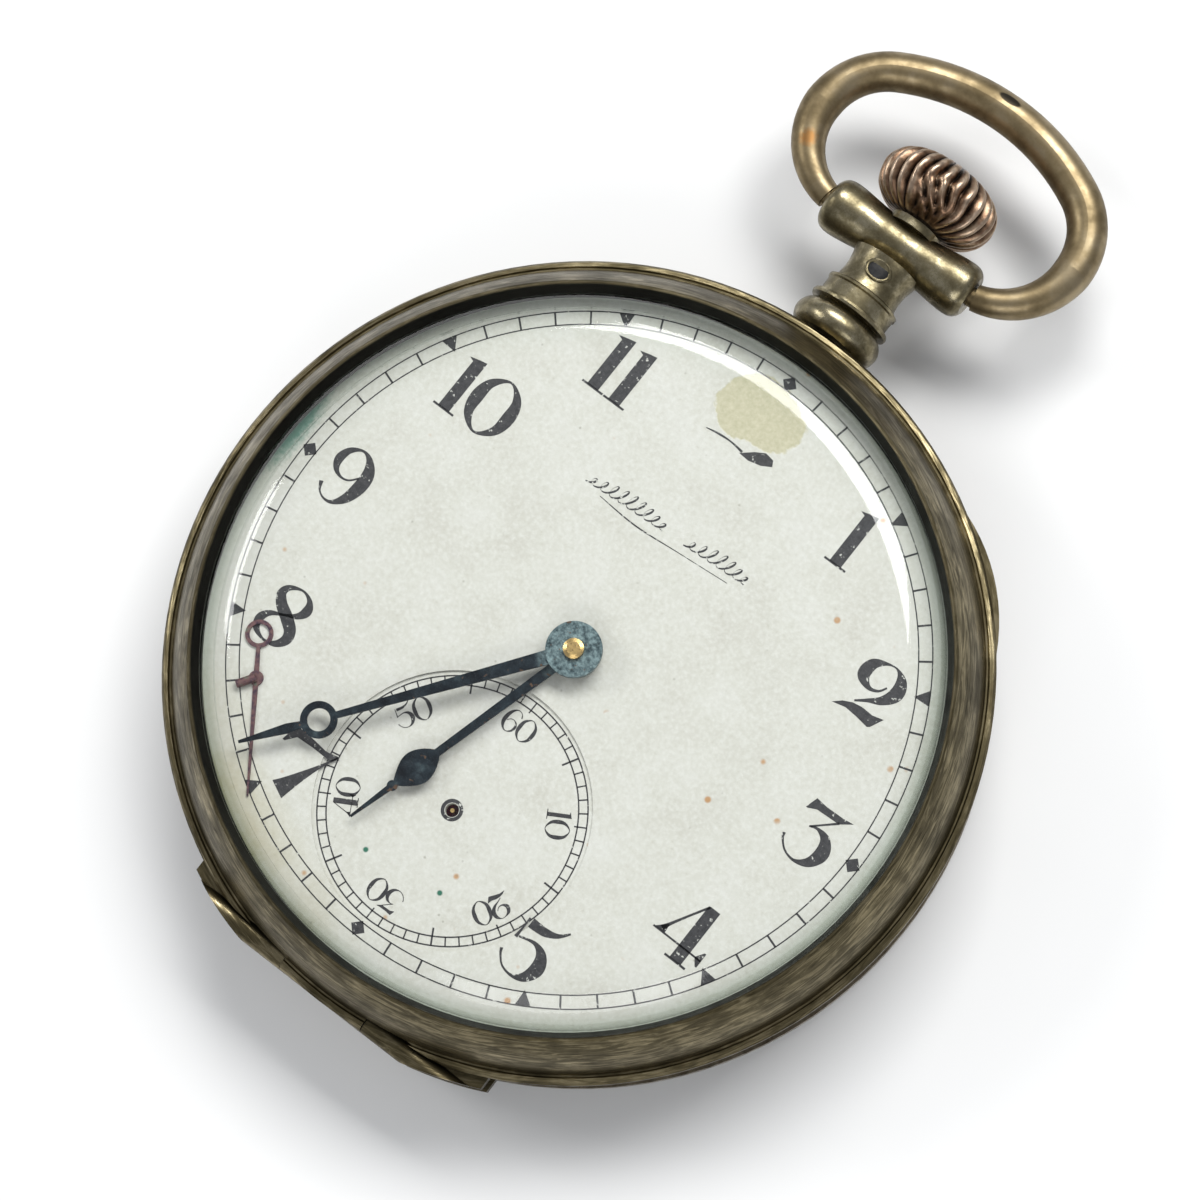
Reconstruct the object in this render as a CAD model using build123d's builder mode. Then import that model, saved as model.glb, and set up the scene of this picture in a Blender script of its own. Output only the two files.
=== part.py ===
"""Open-face, stem-wound pocket watch, built as its separate pieces.

Millimetres. The origin is the centre of the flat case back. +Z points out of the dial,
+Y to the pendant and 12 o'clock, +X to 3 o'clock.
"""
from build123d import *
from math import acos, atan2, cos, degrees, hypot, pi, radians, sin, sqrt
import os

os.makedirs("parts", exist_ok=True)

# ---- Driving dimensions ----

CASE_R = 25.0            # outer ridge of the bezel
BAND_R = 24.6            # case band, just under the ridge
BAND_LOW = 3.4           # parting line between back cover and band
BAND_HIGH = 7.0          # parting line between band and bezel
MOVEMENT_R = 22.35       # main plate, on the ledge inside the band
BRIDGE_R = 20.3          # bridges, inside the ledge
BRIDGE_LOW = 2.3         # outer face of the bridges
BRIDGE_HIGH = 3.9        # inner face of the bridges
PLATE_LOW = 6.5          # inner face of the main plate
PLATE_HIGH = 8.3         # dial side of the main plate
DIAL_LOW = 8.4
DIAL_TOP = 9.2
STEM_Z = 5.5             # height of the winding stem and the pendant
BOW_Y = 32.6             # pivot line of the bow
HINGE_Y = 24.3           # both hinge lines run along X at this distance below the centre
HINGE_HALF = 10.8        # half the length of a hinge barrel
DIAL_TURN = 1.1          # degrees that dial and train sit clockwise of the pendant
CENTRE = (0.0, 0.4)      # axis of the hands, a little above the case centre
FIT = 0.03               # radial clearance of small pivots
SLIP = 0.06              # radial clearance of larger shafts

# ---- Helpers ----


def clock(angle, distance, origin=CENTRE):
    """Point at a clock angle in degrees and a distance from an origin."""
    turn = radians(angle)
    return (origin[0] + distance * sin(turn), origin[1] + distance * cos(turn))


def meeting(a, b, from_a, from_b, side):
    """Point at given distances from a and b, on the left (1) or right (-1) of the line a to b."""
    dx = b[0] - a[0]
    dy = b[1] - a[1]
    span = hypot(dx, dy)
    along = (from_a**2 - from_b**2 + span**2) / (2 * span)
    across = side * sqrt(from_a**2 - along**2)
    return (a[0] + (along * dx - across * dy) / span, a[1] + (along * dy + across * dx) / span)


def heading(a, b):
    """Direction from a to b, degrees counter-clockwise from +X."""
    return degrees(atan2(b[1] - a[1], b[0] - a[0]))


def upright(centre):
    """Vertical plane through a centre, for profiles that turn about a vertical axis there."""
    return Plane(origin=(centre[0], centre[1], 0), x_dir=(1, 0, 0), z_dir=(0, -1, 0))


def axle(centre):
    return Axis((centre[0], centre[1], 0), (0, 0, 1))


def level(centre, z, turn=0.0):
    """Horizontal plane at a centre and height, turned counter-clockwise by turn degrees."""
    return Plane(origin=(centre[0], centre[1], z), x_dir=(cos(radians(turn)), sin(radians(turn)), 0))


def across_stem(y):
    """Plane square to the stem at y, facing the pendant. Its own +Y points to -Z."""
    return Plane(origin=(0, y, STEM_Z), x_dir=(1, 0, 0), z_dir=(0, 1, 0))


STEM_AXIS = Axis((0, 0, STEM_Z), (0, 1, 0))
STEM_PLANE = Plane.XY.offset(STEM_Z)


def across_hinge(x, z):
    """Plane square to a hinge line at x, facing +X."""
    return Plane(origin=(x, -HINGE_Y, z), x_dir=(0, 1, 0), z_dir=(1, 0, 0))


def stack(*steps):
    """Profile of a stepped shaft from (low, high, radius) steps, with its inner side on the axis."""
    points = [(0, steps[0][0])]
    for low, high, radius in steps:
        points.append((radius, low))
        points.append((radius, high))
    points.append((0, steps[-1][1]))
    return points


def gear(teeth, module, phase=0.0, fullness=0.74):
    """Outline of a toothed wheel with a tooth centred at phase degrees."""
    pitch_r = teeth * module / 2
    tip_r = pitch_r + 0.85 * module
    root_r = pitch_r - 1.2 * module
    half = fullness * pi / teeth / 2
    points = []
    for k in range(teeth):
        middle = radians(phase) + 2 * pi * k / teeth
        for radius, spread in ((root_r, -1.35), (tip_r, -0.45), (tip_r, 0.45), (root_r, 1.35)):
            points.append((radius * cos(middle + spread * half), radius * sin(middle + spread * half)))
    return points


def ratchet_outline(teeth, tip_r, root_r, phase=0.0):
    """Outline of a wheel with leaning teeth, tips clockwise of their backs."""
    points = []
    for k in range(teeth):
        start = radians(phase) + 2 * pi * k / teeth
        pitch = 2 * pi / teeth
        for radius, part in ((root_r, 0.0), (tip_r, 0.42), (tip_r, 0.62), (root_r, 0.68)):
            points.append((radius * cos(start + part * pitch), radius * sin(start + part * pitch)))
    return points


def spiral(inner_r, outer_r, turns, width, start=0.0):
    """Inner and outer edge points of a flat coiled strip."""
    inner = []
    outer = []
    steps = int(turns * 20)
    for k in range(steps + 1):
        angle = radians(start) + 2 * pi * turns * k / steps
        radius = inner_r + (outer_r - inner_r) * k / steps
        inner.append(((radius - width / 2) * cos(angle), (radius - width / 2) * sin(angle)))
        outer.append(((radius + width / 2) * cos(angle), (radius + width / 2) * sin(angle)))
    return inner, outer


def save(part, name):
    part.label = name
    export_step(part, f"parts/{name}.step")


# ---- Where the wheels stand ----

BARREL_MODULE = 0.18
CENTRE_MODULE = 0.17
THIRD_MODULE = 0.16
FOURTH_MODULE = 0.125
BARREL_TEETH = 80
CENTRE_TEETH = 80
THIRD_TEETH = 75
FOURTH_TEETH = 80
PINION_LEAVES = 10
ESCAPE_LEAVES = 8

CROWN_WHEEL_TEETH = 28
RATCHET_TEETH = 44
WINDING_TEETH = 20
CROWN_WHEEL_R = 3.3
WINDING_MODULE = 2 * CROWN_WHEEL_R / CROWN_WHEEL_TEETH
RATCHET_R = RATCHET_TEETH * WINDING_MODULE / 2

CROWN_WHEEL = (0.0, 13.4)
BARREL = meeting(
    CENTRE,
    CROWN_WHEEL,
    BARREL_MODULE * (BARREL_TEETH + PINION_LEAVES) / 2,
    CROWN_WHEEL_R + RATCHET_R,
    -1,
)
FOURTH = clock(180 + DIAL_TURN, 11.8)
THIRD = meeting(
    CENTRE,
    FOURTH,
    CENTRE_MODULE * (CENTRE_TEETH + PINION_LEAVES) / 2,
    THIRD_MODULE * (THIRD_TEETH + PINION_LEAVES) / 2,
    -1,
)
BALANCE = (10.4, -8.8)
BALANCE_R = 6.8
BALANCE_ROOM = BALANCE_R + 0.5
ESCAPE_R = 2.2
PALLET_TO_ESCAPE = 1.155 * ESCAPE_R
PALLET_TO_BALANCE = 3.36
ESCAPE = meeting(
    FOURTH,
    BALANCE,
    FOURTH_MODULE * (FOURTH_TEETH + ESCAPE_LEAVES) / 2,
    PALLET_TO_ESCAPE + PALLET_TO_BALANCE,
    -1,
)
TO_BALANCE = heading(ESCAPE, BALANCE)
PALLET = (
    ESCAPE[0] + PALLET_TO_ESCAPE * cos(radians(TO_BALANCE)),
    ESCAPE[1] + PALLET_TO_ESCAPE * sin(radians(TO_BALANCE)),
)

MINUTE_MODULE = 0.2
HOUR_MODULE = 0.192
CANNON_TEETH = 12
MINUTE_TEETH = 36
MINUTE_LEAVES = 10
HOUR_TEETH = 40
SETTING_TEETH = 20
MINUTE_WHEEL = clock(-12, MINUTE_MODULE * (CANNON_TEETH + MINUTE_TEETH) / 2)
SETTING_WHEEL = clock(4, MINUTE_MODULE * (MINUTE_TEETH + SETTING_TEETH) / 2, MINUTE_WHEEL)

CLICK = (12.0, 9.9)
LEVER = (4.4, 19.2)      # pivot of the setting lever
YOKE = (4.6, 14.8)       # pivot of the yoke

CASE_SCREW_ANGLES = (62, 245)
CASE_SCREW_AT = 20.7
BRIDGE_SCREWS_AT = 19.3
BARREL_BRIDGE_SCREWS = [clock(a, BRIDGE_SCREWS_AT, (0, 0)) for a in (285, 333, 36)]
TRAIN_BRIDGE_SCREWS = [clock(a, BRIDGE_SCREWS_AT, (0, 0)) for a in (200, 254)]
COCK_SCREW = (16.9, -0.9)
PALLET_COCK_SCREW = (8.9, -15.2)
FOOT_ANGLES = (49, 222)  # dial feet
FOOT_R = 18.3

# ---- Case ----

HINGE_R = 0.7
HINGE_PIN_R = 0.33
HINGE_PIN_HALF = 7.0
HINGE_GAP = 0.25
EAR_R = 25.7             # circle that the outer ends of the hinge barrels are rounded to
BEZEL_KNUCKLE = 3.05     # half the bezel's knuckle
BACK_KNUCKLE = (2.55, 5.7)
PENDANT_BORE = 1.0
STEM_R = 0.5


def hinge_zone(x_low, x_high, z, radius):
    """Bar along a hinge line."""
    with BuildPart() as bar:
        with BuildSketch(across_hinge(x_low, z)):
            Circle(radius)
        extrude(amount=x_high - x_low)
    return bar.part


def hinge_leaf(x_low, x_high, z_low, z_high, inner_r, y_inner=21.9):
    """Plate that joins knuckles to a ring of the given inner radius."""
    with BuildPart() as leaf:
        with BuildSketch(Plane.XY.offset(z_low)):
            with Locations(((x_low + x_high) / 2, -(HINGE_Y + y_inner) / 2)):
                Rectangle(x_high - x_low, HINGE_Y - y_inner)
            Circle(inner_r, mode=Mode.SUBTRACT)
        extrude(amount=z_high - z_low)
    return leaf.part


outer_knuckles = [(-HINGE_HALF, -BEZEL_KNUCKLE - 0.05), (BEZEL_KNUCKLE + 0.05, HINGE_HALF)]
case_back_knuckles = [(-HINGE_HALF, -BACK_KNUCKLE[1] - 0.05), (BACK_KNUCKLE[1] + 0.05, HINGE_HALF)]
back_knuckles = [(-BACK_KNUCKLE[1], -BACK_KNUCKLE[0]), (BACK_KNUCKLE[0], BACK_KNUCKLE[1])]
cuvette_knuckle = (-BACK_KNUCKLE[0] + 0.05, BACK_KNUCKLE[0] - 0.05)

high_case_bars = [hinge_zone(a, b, BAND_HIGH, HINGE_R) for a, b in outer_knuckles]
high_case_leaves = [hinge_leaf(a, b, 6.2, 6.95, 23.2) for a, b in outer_knuckles]
low_case_bars = [hinge_zone(a, b, BAND_LOW, HINGE_R) for a, b in case_back_knuckles]
low_case_leaves = [hinge_leaf(a, b, 3.45, 4.2, 23.2) for a, b in case_back_knuckles]
bezel_bar_room = hinge_zone(-BEZEL_KNUCKLE - 0.05, BEZEL_KNUCKLE + 0.05, BAND_HIGH, HINGE_R + HINGE_GAP)
back_bar_room = hinge_zone(-BACK_KNUCKLE[1] - 0.05, BACK_KNUCKLE[1] + 0.05, BAND_LOW, HINGE_R + HINGE_GAP)
high_pin_room = hinge_zone(-HINGE_PIN_HALF, HINGE_PIN_HALF, BAND_HIGH, HINGE_PIN_R + FIT)
low_pin_room = hinge_zone(-HINGE_PIN_HALF, HINGE_PIN_HALF, BAND_LOW, HINGE_PIN_R + FIT)

LIP_R = 24.0             # lip of the band that the back cover snaps over
SNAP_R = 23.9            # lip that the bezel snaps over
LEDGE_R = 21.2

# The band is one ring with a lip at each end, a ledge for the movement and a hole for the stem.
with BuildPart() as case_middle:
    with BuildSketch(Plane.XZ):
        Polygon(
            (22.8, 2.95), (LIP_R, 2.95), (LIP_R, BAND_LOW), (BAND_R, BAND_LOW),
            (BAND_R, BAND_HIGH), (SNAP_R, BAND_HIGH), (SNAP_R, 7.8), (22.7, 7.8),
            (22.7, PLATE_LOW), (LEDGE_R, PLATE_LOW), (LEDGE_R, 5.4), (22.8, 5.4),
            align=None,
        )
    revolve(axis=Axis.Z)
    add(bezel_bar_room, mode=Mode.SUBTRACT)
    add(back_bar_room, mode=Mode.SUBTRACT)
    for bar in high_case_bars + low_case_bars:
        add(bar)
    for leaf in high_case_leaves + low_case_leaves:
        add(leaf)
    Cylinder(EAR_R, 12, align=(Align.CENTER, Align.CENTER, Align.MIN), mode=Mode.INTERSECT)
    add(high_pin_room, mode=Mode.SUBTRACT)
    add(low_pin_room, mode=Mode.SUBTRACT)
    with Locations((0, -HINGE_Y + 1.4, 3.1)):
        Box(2 * BACK_KNUCKLE[1] + 0.2, 4.0, 0.6, mode=Mode.SUBTRACT)
    with BuildSketch(across_stem(20.0)):
        Circle(STEM_R + 0.12)
    extrude(amount=6.0, mode=Mode.SUBTRACT)
save(case_middle.part, "case_middle")

OPENING_R = 22.14
bezel_bar = hinge_zone(-BEZEL_KNUCKLE, BEZEL_KNUCKLE, BAND_HIGH, HINGE_R)
bezel_leaf = hinge_leaf(-BEZEL_KNUCKLE, BEZEL_KNUCKLE, 7.05, 7.8, SNAP_R + 0.1)
case_bar_rooms = [
    hinge_zone(a - 0.05, b + 0.05, BAND_HIGH, HINGE_R + HINGE_GAP) for a, b in outer_knuckles
]
THUMB_CLOCK = 42.5
THUMB_R = 12.0

with BuildPart() as bezel:
    with BuildSketch(Plane.XZ):
        with BuildLine():
            Polyline(
                (SNAP_R + 0.1, 7.95), (SNAP_R + 0.1, 7.05), (24.85, 7.05), (CASE_R, 7.2),
                (CASE_R, 7.6), (24.85, 7.78), (24.6, 7.85), (24.5, 7.75), (24.4, 7.75), (24.3, 7.95),
            )
            ThreePointArc((24.3, 7.95), (23.65, 9.65), (22.75, 11.1))
            Polyline(
                (22.75, 11.1), (22.62, 11.2), (22.5, 11.2), (OPENING_R, 10.45), (OPENING_R, 10.2),
                (22.5, 10.2), (22.5, 9.8), (OPENING_R, 9.8), (OPENING_R, 9.45), (22.75, 9.45),
                (22.75, 7.95), (SNAP_R + 0.1, 7.95),
            )
        make_face()
    revolve(axis=Axis.Z)
    with BuildSketch(level(clock(THUMB_CLOCK, CASE_R + 0.42 - THUMB_R, (0, 0)), 7.05)):
        Circle(THUMB_R)
    extrude(amount=0.55)
    Cylinder(SNAP_R + 0.1, 7.95, align=(Align.CENTER, Align.CENTER, Align.MIN), mode=Mode.SUBTRACT)
    for room in case_bar_rooms:
        add(room, mode=Mode.SUBTRACT)
    add(bezel_bar)
    add(bezel_leaf)
    add(high_pin_room, mode=Mode.SUBTRACT)
save(bezel.part, "bezel")

# Flat in the middle, with a rounded shoulder down to the edge that snaps into the bezel.
with BuildPart() as crystal:
    with BuildSketch(Plane.XZ):
        with BuildLine():
            Polyline((0, 12.1), (18.3, 11.85))
            Spline((18.3, 11.85), (20.4, 11.35), (21.3, 10.2), tangents=[(1, -0.02), (0, -1)])
            Polyline((21.3, 10.2), (21.3, 9.85), (22.45, 9.85), (22.45, 10.15), (22.06, 10.15), (22.06, 10.4))
            Spline((22.06, 10.4), (20.9, 12.2), (18.5, 12.85), tangents=[(0, 1), (-1, 0.02)])
            Polyline((18.5, 12.85), (0, 13.0), (0, 12.1))
        make_face()
    revolve(axis=Axis.Z)
save(crystal.part, "crystal")


def hinge_pin(z):
    with BuildPart() as pin:
        with BuildSketch(across_hinge(-HINGE_PIN_HALF + 0.05, z)):
            Circle(HINGE_PIN_R)
        extrude(amount=2 * HINGE_PIN_HALF - 0.1)
    return pin.part


save(hinge_pin(BAND_HIGH), "bezel_hinge_pin")
save(hinge_pin(BAND_LOW), "back_hinge_pin")

BACK_FLAT_R = 16.5
COVER_R = 24.85
COVER_SIDE_Z = 2.6
COVER_T = 0.5
COVER_CURVE = ((COVER_R - BACK_FLAT_R) ** 2 + COVER_SIDE_Z**2) / (2 * COVER_SIDE_Z)
COVER_INNER_R = LIP_R + 0.1
cover_inner_z = COVER_CURVE - sqrt((COVER_CURVE - COVER_T) ** 2 - (COVER_INNER_R - BACK_FLAT_R) ** 2)


def bowl_point(curve_r, radius):
    """Point at a radius on the curve of the back cover, whose centre stands over the flat's edge."""
    return (radius, COVER_CURVE - sqrt(curve_r**2 - (radius - BACK_FLAT_R) ** 2))


back_bars = [hinge_zone(a, b, BAND_LOW, HINGE_R) for a, b in back_knuckles]
back_leaves = [hinge_leaf(a, b, 2.6, 3.3, LIP_R + 0.08) for a, b in back_knuckles]
back_rooms = [
    hinge_zone(a - 0.05, b + 0.05, BAND_LOW, HINGE_R + HINGE_GAP)
    for a, b in case_back_knuckles + [cuvette_knuckle]
]

with BuildPart() as back_cover:
    with BuildSketch(Plane.XZ):
        with BuildLine():
            Line((0, 0), (BACK_FLAT_R, 0))
            ThreePointArc((BACK_FLAT_R, 0), bowl_point(COVER_CURVE, 21.0), (COVER_R, COVER_SIDE_Z))
            Polyline(
                (COVER_R, COVER_SIDE_Z), (COVER_R, 3.35), (COVER_INNER_R, 3.35),
                (COVER_INNER_R, cover_inner_z),
            )
            ThreePointArc(
                (COVER_INNER_R, cover_inner_z),
                bowl_point(COVER_CURVE - COVER_T, 21.0),
                (BACK_FLAT_R, COVER_T),
            )
            Polyline((BACK_FLAT_R, COVER_T), (0, COVER_T), (0, 0))
        make_face()
    revolve(axis=Axis.Z)
    for room in back_rooms:
        add(room, mode=Mode.SUBTRACT)
    for bar in back_bars:
        add(bar)
    for leaf in back_leaves:
        add(leaf)
    add(low_pin_room, mode=Mode.SUBTRACT)
save(back_cover.part, "back_cover")

CUVETTE_FLAT_R = 18.5
CUVETTE_Z = 1.0
CUVETTE_T = 0.35
cuvette_bar = hinge_zone(*cuvette_knuckle, BAND_LOW, HINGE_R)
cuvette_leaf = hinge_leaf(cuvette_knuckle[0] + 0.1, cuvette_knuckle[1] - 0.1, 2.75, 3.2, 22.3)

with BuildPart() as cuvette:
    with BuildSketch(Plane.XZ):
        with BuildLine():
            Line((0, CUVETTE_Z), (CUVETTE_FLAT_R, CUVETTE_Z))
            ThreePointArc((CUVETTE_FLAT_R, CUVETTE_Z), (21.4, 1.93), (22.5, 3.0))
            Polyline((22.5, 3.0), (22.5, 3.3), (22.15, 3.3), (22.15, 3.05))
            ThreePointArc((22.15, 3.05), (21.15, 2.18), (CUVETTE_FLAT_R, CUVETTE_Z + CUVETTE_T))
            Polyline((CUVETTE_FLAT_R, CUVETTE_Z + CUVETTE_T), (0, CUVETTE_Z + CUVETTE_T), (0, CUVETTE_Z))
        make_face()
    revolve(axis=Axis.Z)
    add(cuvette_bar)
    add(cuvette_leaf)
    add(low_pin_room, mode=Mode.SUBTRACT)
save(cuvette.part, "cuvette")

# ---- Pendant, bow and crown ----

SLEEVE_R = 1.75
SLEEVE_Y = BOW_Y + 1.12
BAR_HALF = 5.3
# The cross bar is a spool: (place along it, radius), waisted in the middle with a lobe at each end.
BAR_SIDE = ((-5.3, 1.3), (-4.95, 1.68), (-4.1, 1.8), (-2.2, 1.6), (0, 1.5), (2.2, 1.6), (4.1, 1.8),
            (4.95, 1.68), (5.3, 1.3))
BOW_PIN_R = 0.6
BOW_WIRE_R = 1.25
BOW_END_R = 0.85
BOW_CORNER_X = 4.6
BOW_CORNER_R = 4.8
BOW_TOP = BOW_Y + 10.75  # furthest point of the bow's centre line

with BuildPart() as pendant:
    with BuildSketch(STEM_PLANE):
        with BuildLine():
            Polyline((PENDANT_BORE, 24.2), (2.3, 24.2), (2.3, 25.0))
            ThreePointArc((2.3, 25.0), (2.98, 26.0), (2.3, 27.0))
            Polyline(
                (2.3, 27.0), (2.2, 27.15), (2.7, 27.2), (2.75, 27.35), (2.7, 27.5), (2.4, 27.6),
                (2.4, 28.5), (2.5, 28.6), (2.5, 28.75), (2.15, 28.9),
            )
            Spline((2.15, 28.9), (2.05, 29.7), (2.35, 31.2))
            Polyline((2.35, 31.2), (PENDANT_BORE, 31.2), (PENDANT_BORE, 24.2))
        make_face()
    revolve(axis=STEM_AXIS)
    with BuildSketch(STEM_PLANE):
        with BuildLine():
            Spline(*[(x, BOW_Y + r) for x, r in BAR_SIDE])
            Polyline((BAR_HALF, BOW_Y + BAR_SIDE[0][1]), (BAR_HALF, BOW_Y), (-BAR_HALF, BOW_Y),
                     (-BAR_HALF, BOW_Y + BAR_SIDE[0][1]))
        make_face()
    revolve(axis=Axis((0, BOW_Y, STEM_Z), (1, 0, 0)))
    with BuildSketch(Plane(origin=(-BAR_HALF - 1, BOW_Y, STEM_Z), x_dir=(0, 1, 0), z_dir=(1, 0, 0))):
        Circle(BOW_PIN_R + SLIP)
    extrude(amount=2.7, mode=Mode.SUBTRACT)
    with BuildSketch(Plane(origin=(BAR_HALF + 1, BOW_Y, STEM_Z), x_dir=(0, 1, 0), z_dir=(-1, 0, 0))):
        Circle(BOW_PIN_R + SLIP)
    extrude(amount=2.7, mode=Mode.SUBTRACT)
    with BuildSketch(across_stem(24.0)):
        Circle(PENDANT_BORE)
    extrude(amount=12, mode=Mode.SUBTRACT)
    with BuildSketch(across_stem(SLEEVE_Y - 0.01)):
        Circle(SLEEVE_R + 0.02)
    extrude(amount=2, mode=Mode.SUBTRACT)
    with BuildSketch(Plane.XY):
        Circle(BAND_R + 0.01)
    extrude(amount=13, mode=Mode.SUBTRACT)
    with BuildSketch(Plane.XY.offset(BAND_HIGH - 0.05)):
        Circle(CASE_R + 0.15)
    extrude(amount=6, mode=Mode.SUBTRACT)
    with BuildSketch(Plane.XY):
        Circle(COVER_R + 0.15)
    extrude(amount=BAND_LOW + 0.05, mode=Mode.SUBTRACT)
save(pendant.part, "pendant")

CROWN_Y = 34.35          # inner face of the crown
CROWN_R = 4.05
CROWN_RIBS = 26

with BuildPart() as pendant_sleeve:
    with BuildSketch(STEM_PLANE):
        Polygon(
            (STEM_R + SLIP, 29.5), (PENDANT_BORE - 0.02, 29.5), (PENDANT_BORE - 0.02, SLEEVE_Y),
            (SLEEVE_R, SLEEVE_Y), (SLEEVE_R, CROWN_Y - 0.12), (STEM_R + SLIP, CROWN_Y - 0.12),
            align=None,
        )
    revolve(axis=STEM_AXIS)
save(pendant_sleeve.part, "pendant_sleeve")

corner_y = BOW_Y + BOW_CORNER_R
top_rise = BOW_TOP - corner_y
top_r = (BOW_CORNER_X**2 + top_rise**2 - BOW_CORNER_R**2) / (2 * (top_rise - BOW_CORNER_R))
top_y = BOW_TOP - top_r
lean = atan2(BOW_CORNER_X, corner_y - top_y)
BOW_END_X = BAR_HALF + 0.24
end_angle = -degrees(acos((BOW_END_X - BOW_CORNER_X) / BOW_CORNER_R))
half_way = (90 - degrees(lean)) / 2
bow_join = (top_r * sin(lean), top_y + top_r * cos(lean))
bow_side = (BOW_CORNER_X + BOW_CORNER_R, corner_y)


def corner_point(side, angle):
    """Point of the bow's round corner, by the angle above its widest place."""
    return (
        side * (BOW_CORNER_X + BOW_CORNER_R * cos(radians(angle))),
        corner_y + BOW_CORNER_R * sin(radians(angle)),
    )


def bow_end(side):
    """Lower half of a round corner, thinner towards the cross bar."""
    with BuildPart() as end:
        with BuildLine(STEM_PLANE) as line:
            ThreePointArc(corner_point(side, 0), corner_point(side, end_angle / 2), corner_point(side, end_angle))
        wire = line.wires()[0]
        with BuildSketch(Plane(origin=wire @ 0, z_dir=wire % 0)):
            Circle(BOW_WIRE_R)
        with BuildSketch(Plane(origin=wire @ 1, z_dir=wire % 1)):
            Circle(BOW_END_R)
        sweep(path=wire, multisection=True)
    return end.part


# Two round corners and a flatter top arc, with a pin at each end that turns in the cross bar.
with BuildPart() as bow:
    with BuildLine(STEM_PLANE) as bow_path:
        ThreePointArc(bow_side, corner_point(1, half_way), bow_join)
        ThreePointArc(bow_join, (0, BOW_TOP), (-bow_join[0], bow_join[1]))
        ThreePointArc((-bow_join[0], bow_join[1]), corner_point(-1, half_way), corner_point(-1, 0))
    with BuildSketch(Plane(origin=bow_path.wires()[0] @ 0, z_dir=bow_path.wires()[0] % 0)):
        Circle(BOW_WIRE_R)
    sweep(path=bow_path.wires()[0])
    for side in (-1, 1):
        add(bow_end(side))
    for side in (-1, 1):
        start = side * (BAR_HALF - 1.5)
        with BuildSketch(Plane(origin=(start, BOW_Y, STEM_Z), x_dir=(0, 1, 0), z_dir=(side, 0, 0))):
            Circle(BOW_PIN_R)
        extrude(amount=2.2)
save(bow.part, "bow")

with BuildPart() as crown:
    with BuildSketch(STEM_PLANE):
        with BuildLine():
            Polyline((STEM_R + 0.01, CROWN_Y), (2.0, CROWN_Y))
            Spline(
                (2.0, CROWN_Y), (3.55, CROWN_Y + 0.8), (CROWN_R, CROWN_Y + 2.1),
                (3.6, CROWN_Y + 3.3), (2.0, CROWN_Y + 4.1), tangents=[(1, 0.15), (-1, 0.4)],
            )
            Polyline((2.0, CROWN_Y + 4.1), (0, CROWN_Y + 4.3), (0, CROWN_Y + 1.6))
            Polyline((0, CROWN_Y + 1.6), (STEM_R + 0.01, CROWN_Y + 1.6), (STEM_R + 0.01, CROWN_Y))
        make_face()
    revolve(axis=STEM_AXIS)
    with BuildSketch(across_stem(CROWN_Y - 0.5)):
        with PolarLocations(CROWN_R + 0.02, CROWN_RIBS):
            Circle(0.3)
    extrude(amount=5.5, mode=Mode.SUBTRACT)
save(crown.part, "crown")

PILOT_R = 0.3
PILOT_Y = 13.0
SQUARE_Y = 14.1
CLUTCH_Y = 14.2
CLUTCH_R = 1.4
PINION_Y = 16.5
WINDING_R = 2.45
LEVER_GROOVE_Y = 18.9
STEM_SQUARE = 0.7

with BuildPart() as winding_stem:
    with BuildSketch(STEM_PLANE):
        Polygon(
            (0, PILOT_Y), (PILOT_R, PILOT_Y), (PILOT_R, SQUARE_Y), (STEM_R, SQUARE_Y),
            (STEM_R, LEVER_GROOVE_Y), (0.35, LEVER_GROOVE_Y), (0.35, LEVER_GROOVE_Y + 0.6),
            (STEM_R, LEVER_GROOVE_Y + 0.6), (STEM_R, CROWN_Y + 1.5), (0, CROWN_Y + 1.5),
            align=None,
        )
    revolve(axis=STEM_AXIS)
    with BuildSketch(across_stem(SQUARE_Y)):
        Circle(STEM_R + 0.1)
        Rectangle(STEM_SQUARE, STEM_SQUARE, mode=Mode.SUBTRACT)
    extrude(amount=PINION_Y - SQUARE_Y - 0.1, mode=Mode.SUBTRACT)
save(winding_stem.part, "winding_stem")

# The clutch slides on the stem's square. Dogs on its end fit slots in the winding pinion.
DOGS = 6

with BuildPart() as clutch_wheel:
    with BuildSketch(STEM_PLANE):
        Polygon(
            (0, CLUTCH_Y), (CLUTCH_R, CLUTCH_Y), (CLUTCH_R, CLUTCH_Y + 0.6), (1.0, CLUTCH_Y + 0.7),
            (1.0, CLUTCH_Y + 1.3), (CLUTCH_R, CLUTCH_Y + 1.4), (CLUTCH_R, PINION_Y - 0.08),
            (0, PINION_Y - 0.08),
            align=None,
        )
    revolve(axis=STEM_AXIS)
    with BuildSketch(across_stem(PINION_Y - 0.08)):
        with PolarLocations(1.1, DOGS):
            Rectangle(0.5, 0.22)
    extrude(amount=0.3)
    with BuildSketch(across_stem(CLUTCH_Y - 0.1)):
        Rectangle(STEM_SQUARE + 0.08, STEM_SQUARE + 0.08)
    extrude(amount=3, mode=Mode.SUBTRACT)
    with BuildSketch(across_stem(CLUTCH_Y - 0.1)):
        with PolarLocations(CLUTCH_R, 12, start_angle=15):
            Rectangle(0.5, 0.28)
    extrude(amount=0.4, mode=Mode.SUBTRACT)
save(clutch_wheel.part, "clutch_wheel")

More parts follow.
